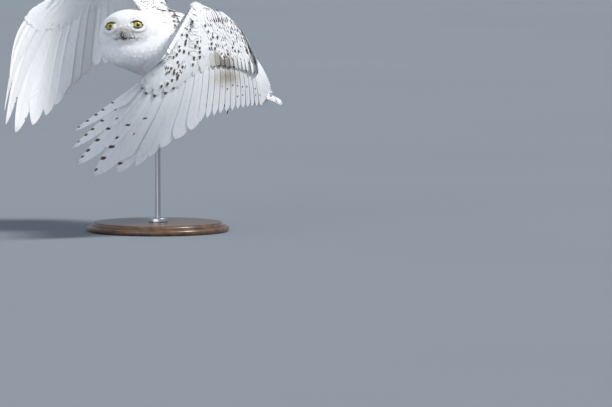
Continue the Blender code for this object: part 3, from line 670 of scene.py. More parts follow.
def leg_line(mirror):
    """The leg's axis from hip to toe."""
    aim = unit(FOOT - ANKLE)
    return np.array((HIP, ANKLE, FOOT, FOOT + aim * 0.045)) * (1, mirror, 1)


def along_leg(points, mirror):
    """Distance along the leg and away from it, and the nearest stretch's direction."""
    line = leg_line(mirror)
    best = np.full(points.shape[0], 9.0)
    where, aim = np.zeros(points.shape[0]), np.zeros(points.shape)
    start = 0.0
    for first, second in zip(line[:-1], line[1:]):
        span = second - first
        share = np.clip((points - first) @ span / (span @ span), 0, 1)
        away = np.linalg.norm(points - first - share[:, None] * span, axis=1)
        closer = away < best
        best = np.where(closer, away, best)
        where = np.where(closer, start + share * np.linalg.norm(span), where)
        aim[closer] = unit(span)
        start += np.linalg.norm(span)
    return where, best, aim


def regions(points):
    """Which part of the owl each world point belongs to."""
    local = to_bird(points)
    forward, left, up = local.T
    names = np.full(len(points), "trunk", dtype=object)
    out = trunk_reach(local)
    wing_names = np.where(left > 0, "wing_left", "wing_right").astype(object)
    wing = (np.abs(left) > 0.040) & (out > 1.02) & (up > 0.012) & (forward < 0.02)
    wing |= np.abs(left) > 0.095
    names[wing] = wing_names[wing]
    for label, mirror in SIDES:
        away = along_leg(local, mirror)[1]
        leg = (away < 0.050) & (out > 0.97) & (forward < -0.17) & (up < -0.02) & (left * mirror > 0)
        names[leg] = "leg_" + label
    names[np.linalg.norm(to_head(points) / HEAD_HALF, axis=-1) < 1.0] = "head"
    return names


def body_chart(points, names):
    """Map places of world points on head, trunk and legs, each in its region's chart."""
    local, facing = to_bird(points), unit(to_head(points))
    forward, left, up = local.T
    names = np.broadcast_to(np.array(names, dtype=object), len(points))
    out = chart("other", (forward + 0.5) % 1, (left + 0.5) % 1)
    trunk = chart("trunk", np.arctan2(left, up) / math.tau + 0.5, (forward + 0.36) / 0.42)
    turned = 0.5 * np.arccos(np.clip(-facing[:, 1], -1, 1)) / math.pi
    around = np.arctan2(facing[:, 2], facing[:, 0])
    head = chart("head", 0.5 + turned * np.cos(around), 0.5 + turned * np.sin(around))
    out[names == "trunk"] = trunk[names == "trunk"]
    out[names == "head"] = head[names == "head"]
    for side, mirror in SIDES:
        around = np.arctan2(left - LEG_MIDDLE[0] * mirror, up - LEG_MIDDLE[1]) / math.tau + 0.5
        chosen = names == "leg_" + side
        out[chosen] = chart(("leg", side), around, along_leg(local, mirror)[0] / 0.2)[chosen]
    return out


# ---- the skin ---------------------------------------------------------------------
def head_rings():
    """The head under its feathers."""
    polar = np.linspace(0.12, math.pi - 0.12, 22)[:, None]
    around = np.arange(32) / 32 * math.tau
    direction = np.stack([np.sin(polar) * np.cos(around), np.cos(polar) * np.ones_like(around),
                          np.sin(polar) * np.sin(around)], axis=-1)
    plain = 1.0 / np.sqrt(np.sum((direction / HEAD_HALF) ** 2, axis=-1))
    facing = np.maximum(0.0, -direction[..., 1])
    radius = plain * (1.0 - DISC_FLATTEN * facing ** 3) - HEAD_DEPTH
    return head_place(direction * radius[..., None])


def trunk_rings():
    """The trunk under its feathers."""
    forward, height, wide, deep = spread(TRUNK_STATIONS, 44).T
    wide, deep = np.maximum(wide - BODY_DEPTH, 0.004), np.maximum(deep - BODY_DEPTH, 0.004)
    middles = np.stack([forward, 0 * forward, height], axis=1)
    return bird(ellipses(middles, (0, 1, 0), (0, 0, 1), wide, deep, 36))


def neck_rings():
    """The neck under its feathers."""
    polar = np.linspace(0.15, math.pi - 0.15, 14)
    along, across, high = NECK_HALF - BODY_DEPTH * 0.8
    middles = NECK_PLACE + np.stack([along * np.cos(polar), 0 * polar, 0 * polar], axis=1)
    return bird(ellipses(middles, (0, 1, 0), (0, 0, 1), across * np.sin(polar), high * np.sin(polar), 32))


def limb_rings(points, halves, mirror):
    """A stretch of leg or toe through points with half widths."""
    points = np.asarray(points, float) * (1, mirror, 1)
    along = headings(points)
    across = unit(np.cross((0, 0, 1), along))
    return bird(ellipses(points, across, np.cross(along, across), halves, halves, 16))


def toe_lines():
    """Each toe's points in the left foot, its end direction, and the foot's directions."""
    aim = unit(FOOT - ANKLE)
    across = -unit(np.cross((0, 0, 1), aim))
    under = unit(np.cross(aim, across))
    under = under if under[2] < 0 else -under
    lines = []
    for name, sideways, onward, downward, edge, below in TOE_AIMS:
        heading = unit(across * sideways + aim * onward + under * downward)
        bend = unit(heading + under * TOE_BEND)
        start = FOOT + aim * edge + under * below + heading * 0.004
        knuckle = start + heading * TOE_LENGTH * 0.55
        end = knuckle + bend * TOE_LENGTH * 0.45
        lines.append((name, np.array((start, start + (knuckle - start) * 0.6, knuckle, end)), bend))
    return lines, aim, under


def leg_ring_sets(mirror):
    """Rings of thigh, shank, foot and toes under their feathers."""
    sets = []
    for first, second, stations in ((HIP, ANKLE, THIGH_STATIONS), (ANKLE, FOOT, SHANK_STATIONS)):
        points = [first + (second - first) * share for share, _ in stations]
        sets.append(limb_rings(points, [max(half - LEG_DEPTH, 0.004) for _, half in stations], mirror))
    lines, aim, _ = toe_lines()
    points = [FOOT + aim * onward for onward, _ in PAD_STATIONS]
    sets.append(limb_rings(points, [half - 0.003 for _, half in PAD_STATIONS], mirror))
    halves = [half - TOE_DEPTH for half in TOE_HALVES]
    return sets + [limb_rings(points, halves, mirror) for _, points, _ in lines]


def wing_flesh_rings(mirror):
    """Arm, forearm and hand with the web of skin ahead of them."""
    t = np.concatenate([np.linspace(-0.93, 0.20, 14), np.linspace(0.20, -0.93, 14)])
    level = np.repeat((0.60 * DORSAL_SHARE, -0.45 * (1 - DORSAL_SHARE)), 14)
    place = np.linspace(-0.2, ARM_END, 60)[:, None]
    points = wing_point(place, t) + wing_normal(place, t) * (wing_thickness(place, t) * level)[..., None]
    return bird(points * (1, mirror, 1))


FLESH_NODES = sorted(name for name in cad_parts
                     if not name.startswith(("eye", "bill", "claw", "stand")))


def make_skin(finish):
    """One closed skin over head, neck, trunk, legs and wing bones."""
    sets = [head_rings(), neck_rings(), trunk_rings()]
    for _, mirror in SIDES:
        sets += [*leg_ring_sets(mirror), wing_flesh_rings(mirror)]
    points, faces = [], []
    for rings in sets:
        made, polygons = loft(rings)
        faces += [tuple(index + len(points) for index in polygon) for polygon in polygons]
        points += made.tolist()
    rough = outward(mesh_object("rough", points, faces, finish, "plumage_white"))
    remesh = rough.modifiers.new("skin", "REMESH")
    remesh.mode, remesh.voxel_size = "VOXEL", SKIN_VOXEL
    relax = rough.modifiers.new("relax", "SMOOTH")
    relax.factor, relax.iterations = 0.5, 8
    mesh = bpy.data.meshes.new_from_object(rough.evaluated_get(bpy.context.evaluated_depsgraph_get()))
    bpy.data.objects.remove(rough)
    polygons = [tuple(face.vertices) for face in mesh.polygons]
    skin = mesh_object("skin", read(mesh.vertices, "co", 3), polygons, finish, "plumage_white")
    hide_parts(*FLESH_NODES)
    return skin


def wing_places(points, mirror):
    """The wing's side (1 upper, -1 lower), place and t nearest to each world point."""
    place, t = (grid.ravel() for grid in np.meshgrid(np.linspace(-0.5, ARM_END, 79), np.linspace(-1, 1, 41),
                                                     indexing="ij"))
    known = [(level, *spot) for level in (1, -1) for spot in zip(place, t)]
    tree = KDTree(len(known))
    for start, level in ((0, 1), (place.size, -1)):
        for index, point in enumerate(on_wing(place, t, level, mirror)[0].tolist()):
            tree.insert(point, index + start)
    tree.balance()
    return np.array([known[tree.find(point)[1]] for point in points.tolist()])


def skin_chart(points, names):
    """Map places of points on the skin."""
    out = body_chart(points, names)
    for side, mirror in SIDES:
        chosen = names == "wing_" + side
        level, place, t = wing_places(points[chosen], mirror).T
        upper, lower = wing_chart(side, 1, place, t), wing_chart(side, -1, place, t)
        out[chosen] = np.where(level[:, None] > 0, upper, lower)
    return out


def map_skin(skin):
    """Lay every face of the skin on the map, none of them across a chart's edge."""
    mesh = skin.data
    corners = read(mesh.loops, "vertex_index", 1, np.int64)
    totals = read(mesh.polygons, "loop_total", 1, np.int64)
    centres, points = read(mesh.polygons, "center", 3), read(mesh.vertices, "co", 3)
    middle = np.repeat(skin_chart(centres, regions(centres)), totals, axis=0)
    corner = skin_chart(points, regions(points))[corners]
    corner = np.where(np.abs(corner - middle) > 0.02, middle, corner)
    mesh.uv_layers["OFBake"].data.foreach_set("uv", corner.astype(np.float32).ravel())


# ---- feathers laid in numbers -------------------------------------------------------
class Pattern:
    """A feather's outline on a grid: `a` from root to tip, `c` across from -1 to 1."""

    def __init__(self, rows, widths, columns, fringe):
        across = np.linspace(-1, 1, columns)
        middle = (across[1:] + across[:-1]) / 2
        last = (len(rows) - 1) * columns
        c = np.tile(across, len(rows))
        a = np.repeat(rows, columns)
        a = a - 0.10 * c ** 2 * a ** 4
        self.a = np.concatenate([a, rows[-1] + fringe * (1 - 0.45 * middle ** 2)])
        self.c = np.concatenate([c, middle * 1.05])
        self.width = np.concatenate([np.repeat(widths, columns), np.full(columns - 1, widths[-1])])
        self.tips = np.concatenate([np.zeros(last + columns), np.ones(columns - 1)])
        corner = last + np.arange(columns - 1)
        fringe_faces = np.stack([corner, corner + 1, len(c) + np.arange(columns - 1)], axis=1)
        self.faces = np.concatenate([grid_faces(len(rows), columns), fringe_faces])


DOWNY = Pattern((0.0, 0.28, 0.55, 0.74), (0.30, 0.85, 1.0, 0.92), 7, 0.26)
SCALY = Pattern((0.0, 0.2, 0.42, 0.62, 0.78, 0.90), (0.30, 0.80, 1.0, 1.0, 0.86, 0.60), 7, 0.10)
BROAD = Pattern((0.0, 0.12, 0.26, 0.4, 0.53, 0.65, 0.76, 0.85, 0.92, 0.97),
                (0.35, 0.70, 0.92, 1.0, 1.0, 0.98, 0.92, 0.80, 0.62, 0.38), 9, 0.035)
WISP = Pattern((0.0, 0.35, 0.7), (1.0, 0.8, 0.5), 3, 0.30)


def spots(pattern, places, size, strength, wide=0.75):
    """Marks across feathers: bars or spots at `places` from root to tip, the same or each feather's own."""
    places, size = np.atleast_2d(places)[:, :, None], np.reshape(size, (-1, 1, 1))
    a = pattern.a + 0.25 * pattern.c ** 2 * 0.3
    near = bell(a, places, size).max(axis=1)
    return near * (1 - smooth(wide - 0.25, wide + 0.15, np.abs(pattern.c))) * strength[:, None]


def arc(root, middle, tip):
    """Root, bend and tip of a curve that passes through a middle point."""
    return root, 2 * middle - 0.5 * (root + tip), tip


def lay(sheaf, pattern, ends, normals, half, bake, mark=0.0, tone=0.0, camber=0.25, ragged=0.05, roll=0.0):
    """Lay feathers along curves: ends are root, bend and tip points, normals those at root and tip."""
    root, bend, tip = ends
    a, c = pattern.a[None, :, None], pattern.c[None, :, None]
    count, size = len(root), len(pattern.a)
    half = np.broadcast_to(half, count)[:, None]
    reach = np.linalg.norm(tip - root, axis=1)[:, None]
    a = a + (rng.normal(0, ragged, (count, size)) * pattern.tips)[..., None]
    middle = (1 - a) ** 2 * root[:, None] + 2 * a * (1 - a) * bend[:, None] + a ** 2 * tip[:, None]
    along = unit(2 * (1 - a) * (bend - root)[:, None] + 2 * a * (tip - bend)[:, None])
    normal = square(normals[0][:, None] * (1 - a) + normals[1][:, None] * a, along)
    wide = (half * pattern.width)[..., None]
    points = middle - np.cross(normal, along) * c * wide
    points = points + normal * (wide * camber * (0.6 - c ** 2) + roll * c * wide)
    vane = np.stack([a[..., 0] * reach, c[..., 0] * half], axis=-1) + rng.random((count, 1, 2)) * 3.0
    patch = np.stack([pattern.c / 2, pattern.a - 0.5], axis=-1) * PATCH
    tone = np.asarray(tone, float)
    sheaf.add(pattern.faces, points, normal, vane, bake[:, None] + patch[None], mark,
              tone[:, None] if tone.ndim == 1 else tone)


def thin(points, gap):
    """Which of the points to keep so that none are closer than the gap, first come first kept."""
    cells, kept = {}, []
    around = list(itertools.product((-1, 0, 1), repeat=3))
    for index, (x, y, z) in enumerate(np.floor(points / gap).astype(int).tolist()):
        near = (points[other] - points[index] for i, j, k in around
                for other in cells.get((x + i, y + j, z + k), ()))
        if all(step @ step >= gap * gap for step in near):
            cells.setdefault((x, y, z), []).append(index)
            kept.append(index)
    return np.array(kept)


class Surface:
    """A mesh to scatter feathers on and to lay them along."""

    def __init__(self, points, normals, triangles):
        self.points, self.normals, self.triangles = points, normals, triangles
        self.tree = BVHTree.FromPolygons(points.tolist(), triangles.tolist())
        first, second, third = np.moveaxis(points[triangles], 1, 0)
        self.area = np.linalg.norm(np.cross(second - first, third - first), axis=1) / 2

    def scatter(self, region, count, gap):
        """Evenly spread feather roots in one region, with normals."""
        chosen = rng.choice(len(self.triangles), count, p=self.area / self.area.sum())
        first, second = rng.random(count), rng.random(count)
        flip = first + second > 1
        first[flip], second[flip] = 1 - first[flip], 1 - second[flip]
        weights = np.stack([1 - first - second, first, second], axis=1)[..., None]
        corners = self.triangles[chosen]
        points = (self.points[corners] * weights).sum(1)
        normals = unit((self.normals[corners] * weights).sum(1))
        here = regions(points) == region
        points, normals = points[here], normals[here]
        kept = thin(points, gap)
        return points[kept], normals[kept]

    def nearest(self, points):
        """The nearest surface points and their normals."""
        found = [self.tree.find_nearest(point) for point in points.tolist()]
        return np.array([hit[0] for hit in found]), np.array([hit[1] for hit in found])

    def drape(self, roots, normals, lies, lengths, sink, rise):
        """Curves that follow the surface from each root: sunk at the root, risen at the tip."""
        lies, rise = lies * lengths[:, None], np.broadcast_to(rise, len(roots))[:, None]
        middle, middle_normal = self.nearest(roots + lies * 0.5)
        tip, tip_normal = self.nearest(roots + lies)
        ends = arc(roots - normals * sink, middle + middle_normal * (rise * 0.72), tip + tip_normal * rise)
        return ends, (normals, tip_normal)


# ---- coat of head, trunk and legs -----------------------------------------------------
FACE_HUB = np.array((0.0, -0.066, -0.014))    # the face's feathers fan out from here
FACE_AXIS = np.array((0.0, -1.0, -0.08))
GAPE_HEIGHT = 0.0230              # how far below the head's middle the crease of the gape lies, along which its shade is painted
EYE_OPENING = np.array((0.0330, -0.0540, 0.0020))
GAZE = unit(np.array((0.375, -0.927, 0.03)))
LOOKS = {1: (0.06, 0.0, -0.22), -1: (0.30, 0.0, -0.18)}   # how each side's eye turns from straight ahead
LID_WIDE, LID_HIGH, LID_LOW = 0.0130, 0.0046, 0.0072
BACKWARD = bird_aim((-1.0, 0.0, 0.0))


def eye_middles():
    """Middles of the two eye openings, in the head's frame."""
    return np.array([EYE_OPENING * (mirror, 1, 1) for _, mirror in SIDES])


def lay_body(sheaf, surface, region, roots, lies, length, width, sink, rise, mark, tone, **more):
    """Lay downy feathers along the body's surface: roots are points and normals."""
    ends, normals = surface.drape(*roots, lies, length, sink, rise)
    lay(sheaf, DOWNY, ends, normals, length * width, body_chart(roots[0], region), mark, tone, **more)


def head_lie(points, normals):
    """The way feathers lie on the head: out from the face and the eyes, back over the crown."""
    local, outwards = to_head(points), normals @ HEAD
    eyes = eye_middles()
    gaps = np.linalg.norm(local[:, None] - eyes[None], axis=2)
    by_eye = smooth(0.034, 0.015, gaps.min(1))[:, None]
    from_eye = square(local - eyes[gaps.argmin(1)], outwards)
    face = unit(square(local - FACE_HUB, outwards) * (1 - by_eye) + from_eye * by_eye)
    turned = np.arccos(np.clip(unit(local) @ unit(FACE_AXIS), -1, 1))
    behind = smooth(1.7, 2.4, turned)[:, None]
    back = square(np.broadcast_to(BACKWARD, points.shape), normals)
    return square(face @ HEAD.T * (1 - behind) + back * behind, normals), turned


def body_mark(points):
    """How strongly body feathers are barred at world points, and how warm they are."""
    (forward, left, up), facing = to_bird(points).T, unit(to_head(points))
    flank = smooth(-0.06, -0.16, forward) * smooth(0.03, 0.07, np.abs(left)) * smooth(-0.075, -0.04, up)
    mantle = smooth(0.03, 0.06, up) * smooth(-0.03, -0.07, forward)
    nape = smooth(0.05, 0.35, facing[:, 1]) * smooth(0.20, 0.5, facing[:, 2]) * (forward > -0.10)
    return np.maximum(np.maximum(flank * 0.7, mantle), nape), mantle * 0.15


def face_shade(local):
    """Where the face is darker: painted shade along the crease at the gape, and the greyish feathers between
    eyes and bill.
    """
    wide, ahead, up = np.abs(local[:, 0]), local[:, 1] < 0, local[:, 2]
    line = up + GAPE_HEIGHT + 0.010 * smooth(0.025, 0.055, wide)
    # Painted shade along the gape's crease, strongest beside the bill.
    crease_shade = bell(line, 0, 0.0028) * smooth(0.060, 0.012, wide) * ahead
    between = smooth(0.020, 0.006, wide) * smooth(-0.032, -0.020, up) * smooth(0.022, -0.004, up)
    by_eye = np.min([np.linalg.norm(local - eye, axis=1) for eye in eye_middles()], axis=0)
    return crease_shade, np.maximum(between * 0.45, smooth(0.021, 0.015, by_eye) * 0.5) * ahead


def eye_clear(local, grow):
    """Whether head-frame points are clear of both eye openings."""
    clear = np.ones(len(local), bool)
    for middle, (_, mirror) in zip(eye_middles(), SIDES):
        _, sideways, upward, gaze = eye_frame(mirror)
        step = local - middle
        across, up = step @ sideways, step @ upward
        high = np.where(up > 0, LID_HIGH + 0.0030, LID_LOW + 0.0006)
        clear &= ((across / LID_WIDE) ** 2 + (up / high) ** 2 > grow ** 2) | (step @ gaze < -0.030)
    return clear


def coat_head(surface):
    """Small soft feathers of the face and longer ones over crown, cheeks and nape."""
    sheaf = Sheaf()
    for gap, count, face in ((FACE_GAP, TRIES, True), (CROWN_GAP, TRIES * 2 // 3, False)):
        points, normals = surface.scatter("head", count, gap)
        lies, turned = head_lie(points, normals)
        here = (turned < 1.12 if face else turned >= 1.05) & eye_clear(to_head(points), 1.08)
        points, normals, lies, turned = points[here], normals[here], lies[here], turned[here]
        number = len(points)
        grow = smooth(0.5, 1.2, turned) if face else 1 + smooth(1.1, 2.2, turned)
        length = 0.0105 + 0.0030 * grow if face else 0.0130 + 0.0060 * grow
        length = length * rng.uniform(0.80, 1.20, number)
        lies = square(lies + rng.normal(0, 0.10, lies.shape), normals)
        rise = (HEAD_DEPTH * (0.36 if face else 0.46)) * rng.uniform(0.75, 1.15, number)
        strength, tone = body_mark(points)
        crease_shade, grey = face_shade(to_head(points))
        bars = spots(DOWNY, 0.82, 0.16, strength * (rng.random(number) < 0.45))
        # The crease's painted shade goes into the brown marks.
        mark, tone = np.maximum(bars, (crease_shade * 0.57)[:, None]), np.maximum(tone, grey)
        lay_body(sheaf, surface, "head", (points, normals), lies, length, 0.27 if face else 0.29, 0.0002,
                 rise, mark, tone, camber=0.05, ragged=0.09)
    sheaf.build("coat_head", SOFT, "plumage_white", ("head",), softness=0.9)


def coat_trunk(surface):
    """Contour feathers of neck, breast, back and belly, longer towards the tail."""
    sheaf = Sheaf()
    points, normals = surface.scatter("trunk", TRIES, TRUNK_GAP)
    forward, left, _ = to_bird(points).T
    number = len(points)
    aside = np.sign(left) * 0.25 * smooth(0.0, 0.03, np.abs(left))
    out = bird_aim(np.stack([0 * left, aside, np.full(number, -0.06)], axis=-1))
    lies = square(BACKWARD + out + rng.normal(0, 0.09, points.shape), normals)
    length = (0.020 + 0.016 * smooth(0.02, -0.20, forward)) * rng.uniform(0.85, 1.15, number)
    rise = BODY_DEPTH * (0.30 + 0.12 * rng.random(number))
    strength, tone = body_mark(points)
    mark = spots(DOWNY, (0.80, 0.52), 0.085, strength * (rng.random(number) < 0.75), 0.85)
    lay_body(sheaf, surface, "trunk", (points, normals), lies, length, 0.30, 0.0003, rise, mark, tone,
             camber=0.06, ragged=0.08)
    sheaf.build("coat_trunk", SOFT, "plumage_white", ("trunk", "neck"), softness=0.9)


def coat_tail_coverts(surface):
    """Longer feathers over and under the root of the tail."""
    sheaf = Sheaf()
    points, normals = surface.scatter("trunk", TRIES // 3, COVERT_GAP)
    here = to_bird(points)[:, 0] < -0.27
    points, normals = points[here], normals[here]
    left, drop = to_bird(points)[:, 1], math.radians(TAIL_DROOP)
    fan = bird_aim(np.stack([0 * left, left * 3.0, 0 * left], axis=-1))
    lies = unit(bird_aim((-math.cos(drop), 0, -math.sin(drop))) + normals * 0.10 + fan)
    lies = lies * rng.uniform(0.048, 0.070, len(points))[:, None]
    ends = (points - normals * 0.001, points + lies * 0.5 + normals * 0.007, points + lies + normals * 0.002)
    mark = spots(SCALY, (0.88, 0.66), 0.05, np.where(normals @ bird_aim((0, 0, 1)) > 0.1, 0.75, 0.25))
    lay(sheaf, SCALY, ends, (normals, normals), 0.011, body_chart(points, "trunk"), mark, 0.05, camber=0.15)
    sheaf.build("coat_tail_coverts", SOFT, "plumage_tail", ("tail",))


def coat_legs(surface):
    """Dense hairy feathers of thighs, shanks, feet and toes."""
    sheaf = Sheaf()
    for side, mirror in SIDES:
        points, normals = surface.scatter("leg_" + side, TRIES * 2 // 3, LEG_GAP)
        where, _, aim = along_leg(to_bird(points), mirror)
        number = len(points)
        lies = square(bird_aim(aim) + BACKWARD * 0.15 + rng.normal(0, 0.10, points.shape), normals)
        foot = smooth(0.075, 0.125, where)
        length = (0.016 - 0.0095 * foot) * rng.uniform(0.85, 1.15, number)
        rise = (LEG_DEPTH * 0.85 - (LEG_DEPTH - TOE_DEPTH) * 0.8 * foot) * rng.uniform(0.8, 1.1, number)
        lay_body(sheaf, surface, "leg_" + side, (points, normals), lies, length, 0.20, 0.0006,
                 rise, 0.0, 0.08, camber=0.2, ragged=0.07)
    sheaf.build("coat_legs", SOFT, "plumage_white", [name for name in FLESH_NODES if name.startswith("leg")])


# ---- wings -----------------------------------------------------------------------------
def wing_marks(place, t):
    """How strongly the upper side's small feathers are spotted, and how warm they are."""
    inner = smooth(9.5, 12.5, place)
    alula = smooth(2.2, 3.2, place) * smooth(7.5, 6.0, place) * smooth(-0.6, 0.0, t) * smooth(0.36, 0.24, t)
    stain = bell(place, 13.5, 3.0) * bell(t, 0.56, 0.14)
    return inner, alula, stain


def tiles(first, last, step, low, high, gap):
    """Places on the wing in staggered columns, a set distance apart along each feather."""
    out = []
    for number, place in enumerate(np.arange(first, last, step)):
        t = np.linspace(low, high, 60)
        where = travel(wing_point(np.full(60, place), t))
        wanted = np.arange(0.5 * gap * (number % 2), where[-1], gap)
        out += [(place, value) for value in np.interp(wanted, where, t)]
    return np.array(out).T


def ahead_on_wing(place, t, length):
    """The t that lies a distance further along each feather."""
    grid = np.linspace(-1, 1, 81)
    rows = [travel(line) for line in wing_point(place[:, None], grid[None])]
    starts = np.broadcast_to(t, len(place))
    return np.array([np.interp(np.interp(start, grid, row) + step, row, grid)
                     for start, step, row in zip(starts, length, rows)])


def wing_tufts(sheaf, pattern, wing, place, t0, t1, half, sink, rise, mark=0.0, tone=0.0, **more):
    """Lay feathers on one side of a wing (side, mirror, level) from t0 to t1."""
    side, mirror, level = wing
    t1 = np.clip(t1, -1, 1)
    root, first = on_wing(place, t0, level, mirror)
    tip, last = on_wing(place, t1, level, mirror)
    middle, between = on_wing(place, (t0 + t1) / 2, level, mirror)
    rise = rise[..., None]
    ends = arc(root - first * sink, middle + between * (np.abs(rise) * 0.6), tip + last * rise)
    lay(sheaf, pattern, ends, (first, last), half, wing_chart(side, level, place, t0), mark, tone, **more)


def small_coverts(sheaf, wing):
    """Rows of small feathers from the front edge back."""
    end, upper = ARM_END - 2.2, wing[2] > 0
    place, t = tiles(-0.45, end, 0.44, -1.0, 0.30, 0.0085)
    number = len(place)
    place = np.clip(place + rng.normal(0, 0.05, number), -0.5, end)
    length = (0.021 + 0.009 * smooth(-0.6, 0.1, t)) * (0.62 + 0.38 * smooth(0, 8, place))
    length = length * rng.uniform(0.9, 1.12, number)
    inner, thumb, _ = wing_marks(place, t)
    wrist = smooth(7.0, 7.8, place) * smooth(9.2, 8.4, place) * smooth(0.08, 0.14, t)
    strong = (rng.random(number) < 0.74 * inner + 0.34 * thumb + 0.5 * wrist) * upper
    size = np.where(thumb > 0.3, 0.24, 0.15) * 0.9
    wide = np.where(thumb[:, None] > 0.3, 0.66, 0.50)
    mark = spots(SCALY, rng.uniform(0.80, 0.88, (number, 1)), size, strong, wide)
    over_thumb = smooth(6.6, 7.2, place) * smooth(8.9, 8.3, place) * smooth(0.25, 0.0, t) * upper
    rise = rng.uniform(0.0003, 0.0008, number) + 0.0012 * strong + 0.0058 * over_thumb
    t1 = ahead_on_wing(place, t, length)
    wing_tufts(sheaf, SCALY, wing, place, t, t1, length * 0.32, 0.0012, rise, mark, 0.04 * upper,
               camber=0.06, ragged=0.025)


def middle_coverts(sheaf, wing):
    """Two rows of middle-sized feathers over the bases of the long coverts."""
    for low, high, shift, wide in ((0.12, 0.33, 0.0, 0.0098), (0.20, 0.41, 0.25, 0.0104)):
        place = np.arange(-0.25 + shift, ARM_END - 2.0, 0.5)
        number = len(place)
        shrink = np.where(place < HAND_END, 0.80, 1.0)
        t1 = high * shrink + rng.normal(0, 0.008, number)
        inner, thumb, _ = wing_marks(place, t1)
        strong = (rng.random(number) < 0.62 * inner + 0.8 * thumb) * (wing[2] > 0)
        mark = spots(SCALY, 0.88, 0.10, strong, 0.56)
        half = wide * np.interp(place, (0, 4, 9.5, 12), (0.55, 0.8, 1.0, 1.0))
        rise = rng.uniform(0.0007, 0.0010, number) + 0.0007 * strong
        wing_tufts(sheaf, SCALY, wing, place, low * shrink, t1, half, 0.002, rise, mark, 0.04, camber=0.06)


def long_coverts(sheaf, wing):
    """One long covert over the base of each flight feather."""
    level, upper = wing[2], wing[2] > 0
    place = np.arange(0, ARM_END - 2) + 0.30 * level
    number = len(place)
    reach = np.interp(place, (0, 3, 6, 9.5, 21, 25), (0.36, 0.42, 0.47, 0.53, 0.54, 0.50))
    t1 = reach * (1.0 if upper else 0.86) + rng.normal(0, 0.006, number)
    inner, _, stain = wing_marks(place, t1)
    outer = smooth(6.5, 5.0, place) * smooth(0.5, 1.5, place)
    strength = (inner * (rng.random(number) < 0.75) + outer) * upper
    places = np.stack([rng.uniform(0.91, 0.95, number), np.where(place < 8, 0.80, 0.93)], axis=1)
    mark = np.maximum(spots(BROAD, places, 0.036, strength, 0.60), 0.53 * stain[:, None] * upper)
    half = np.interp(place, (0, 3, 9.5, 12, 25), (0.0085, 0.0125, 0.0145, 0.0145, 0.016))
    rise = 0.0012 - 0.92 * wing_thickness(place, t1) * (DORSAL_SHARE if upper else 1 - DORSAL_SHARE)
    t0, tone = np.where(place < HAND_END, 0.16, 0.27), (0.06 + 0.9 * stain) * upper + 0.03
    wing_tufts(sheaf, BROAD, wing, place, t0, t1, half, 0.0015, rise, mark, tone,
               camber=0.035, ragged=0.012, roll=0.018 * level)


def front_edge(sheaf, side, mirror):
    """Small feathers that wrap the wing's front edge."""
    front, end = -0.97, ARM_END - 0.2
    place = np.repeat(np.arange(-0.45, end, 0.12), 2)
    number = len(place)
    place = np.clip(place + rng.normal(0, 0.06, number), -0.5, end)
    level = np.tile((1, -1), number // 2)
    upper, lower = (on_wing(place, front, face, mirror)[0] for face in (1, -1))
    ahead = unit(upper - on_wing(place, -0.75, 1, mirror)[0])
    length = rng.uniform(0.015, 0.022, number) * (0.6 + 0.4 * smooth(0, 8, place))
    tip, normal = on_wing(place, ahead_on_wing(place, front, length), level, mirror)
    through, _ = on_wing(place, ahead_on_wing(place, front, length * 0.4), level, mirror)
    root = (upper + lower) / 2 + ahead * 0.0005
    near_wrist = np.minimum(1.0, length / np.linalg.norm(tip - root, axis=1))[:, None]
    tip = root + (tip - root) * near_wrist + normal * 0.0008
    through = root + (through - root) * near_wrist
    ends = arc(root, through + normal * 0.0012, tip)
    guides, bake = (unit(ahead + normal * 0.6), normal), wing_chart(side, 1, place, front)
    lay(sheaf, SCALY, ends, guides, length * 0.33, bake, camber=0.05, ragged=0.03)


def coat_wing(side, mirror):
    """All the small feathers of one wing."""
    nodes = [f"wing_{side}_{name}" for name in ("hand", "forearm", "upper_arm", "alula")]
    for level, name in ((1, "upper"), (-1, "under")):
        sheaf, wing = Sheaf(), (side, mirror, level)
        long_coverts(sheaf, wing)
        middle_coverts(sheaf, wing)
        small_coverts(sheaf, wing)
        if level > 0:
            front_edge(sheaf, side, mirror)
        sheaf.build(f"coat_wing_{side}_{name}", SOFT, "plumage_wing", nodes, softness=0.8)


# ---- flight feathers ------------------------------------------------------------------
QUILL_ROWS = 88
QUILL_COLUMNS = np.array((-1.0, -0.97, -0.80, -0.55, -0.28, -0.05, 0.0, 0.05, 0.35, 0.70, 0.96, 1.0))
VANE_THICKNESS = 0.00016          # half the thickness at the shaft
SHAFT_WIDTH = 0.05                # as a share of the vane
LOWER_MARKS = 0.2                 # how much of the marks shows from below
THUMB_FEATHERS = 4
CLOSED_NOTCH, OPEN_NOTCH, NOTCH_FADE = 0.95, 0.62, 2.5     # where the vanes narrow, inner and outermost
QUILL_LOUVER = 0.0007             # how much the outer edge stands above the inner one
# Along the outer primaries' leading edge: place from root to tip, size and strength.
EDGE_SPOTS = ((0.985, 0.020, 0.52), (0.93, 0.011, 0.95), (0.862, 0.013, 1.0),
              (0.785, 0.012, 1.0), (0.70, 0.011, 0.9), (0.60, 0.010, 0.8))
VANE_DOTS = ((0.73, 0.9), (0.85, 0.45))    # on the inner secondaries: place and chance


def across_line(line, aim):
    """The part of an aim that is square to a line, at each of its points."""
    return square(np.broadcast_to(aim, line.shape), unit(np.gradient(line, axis=0)))


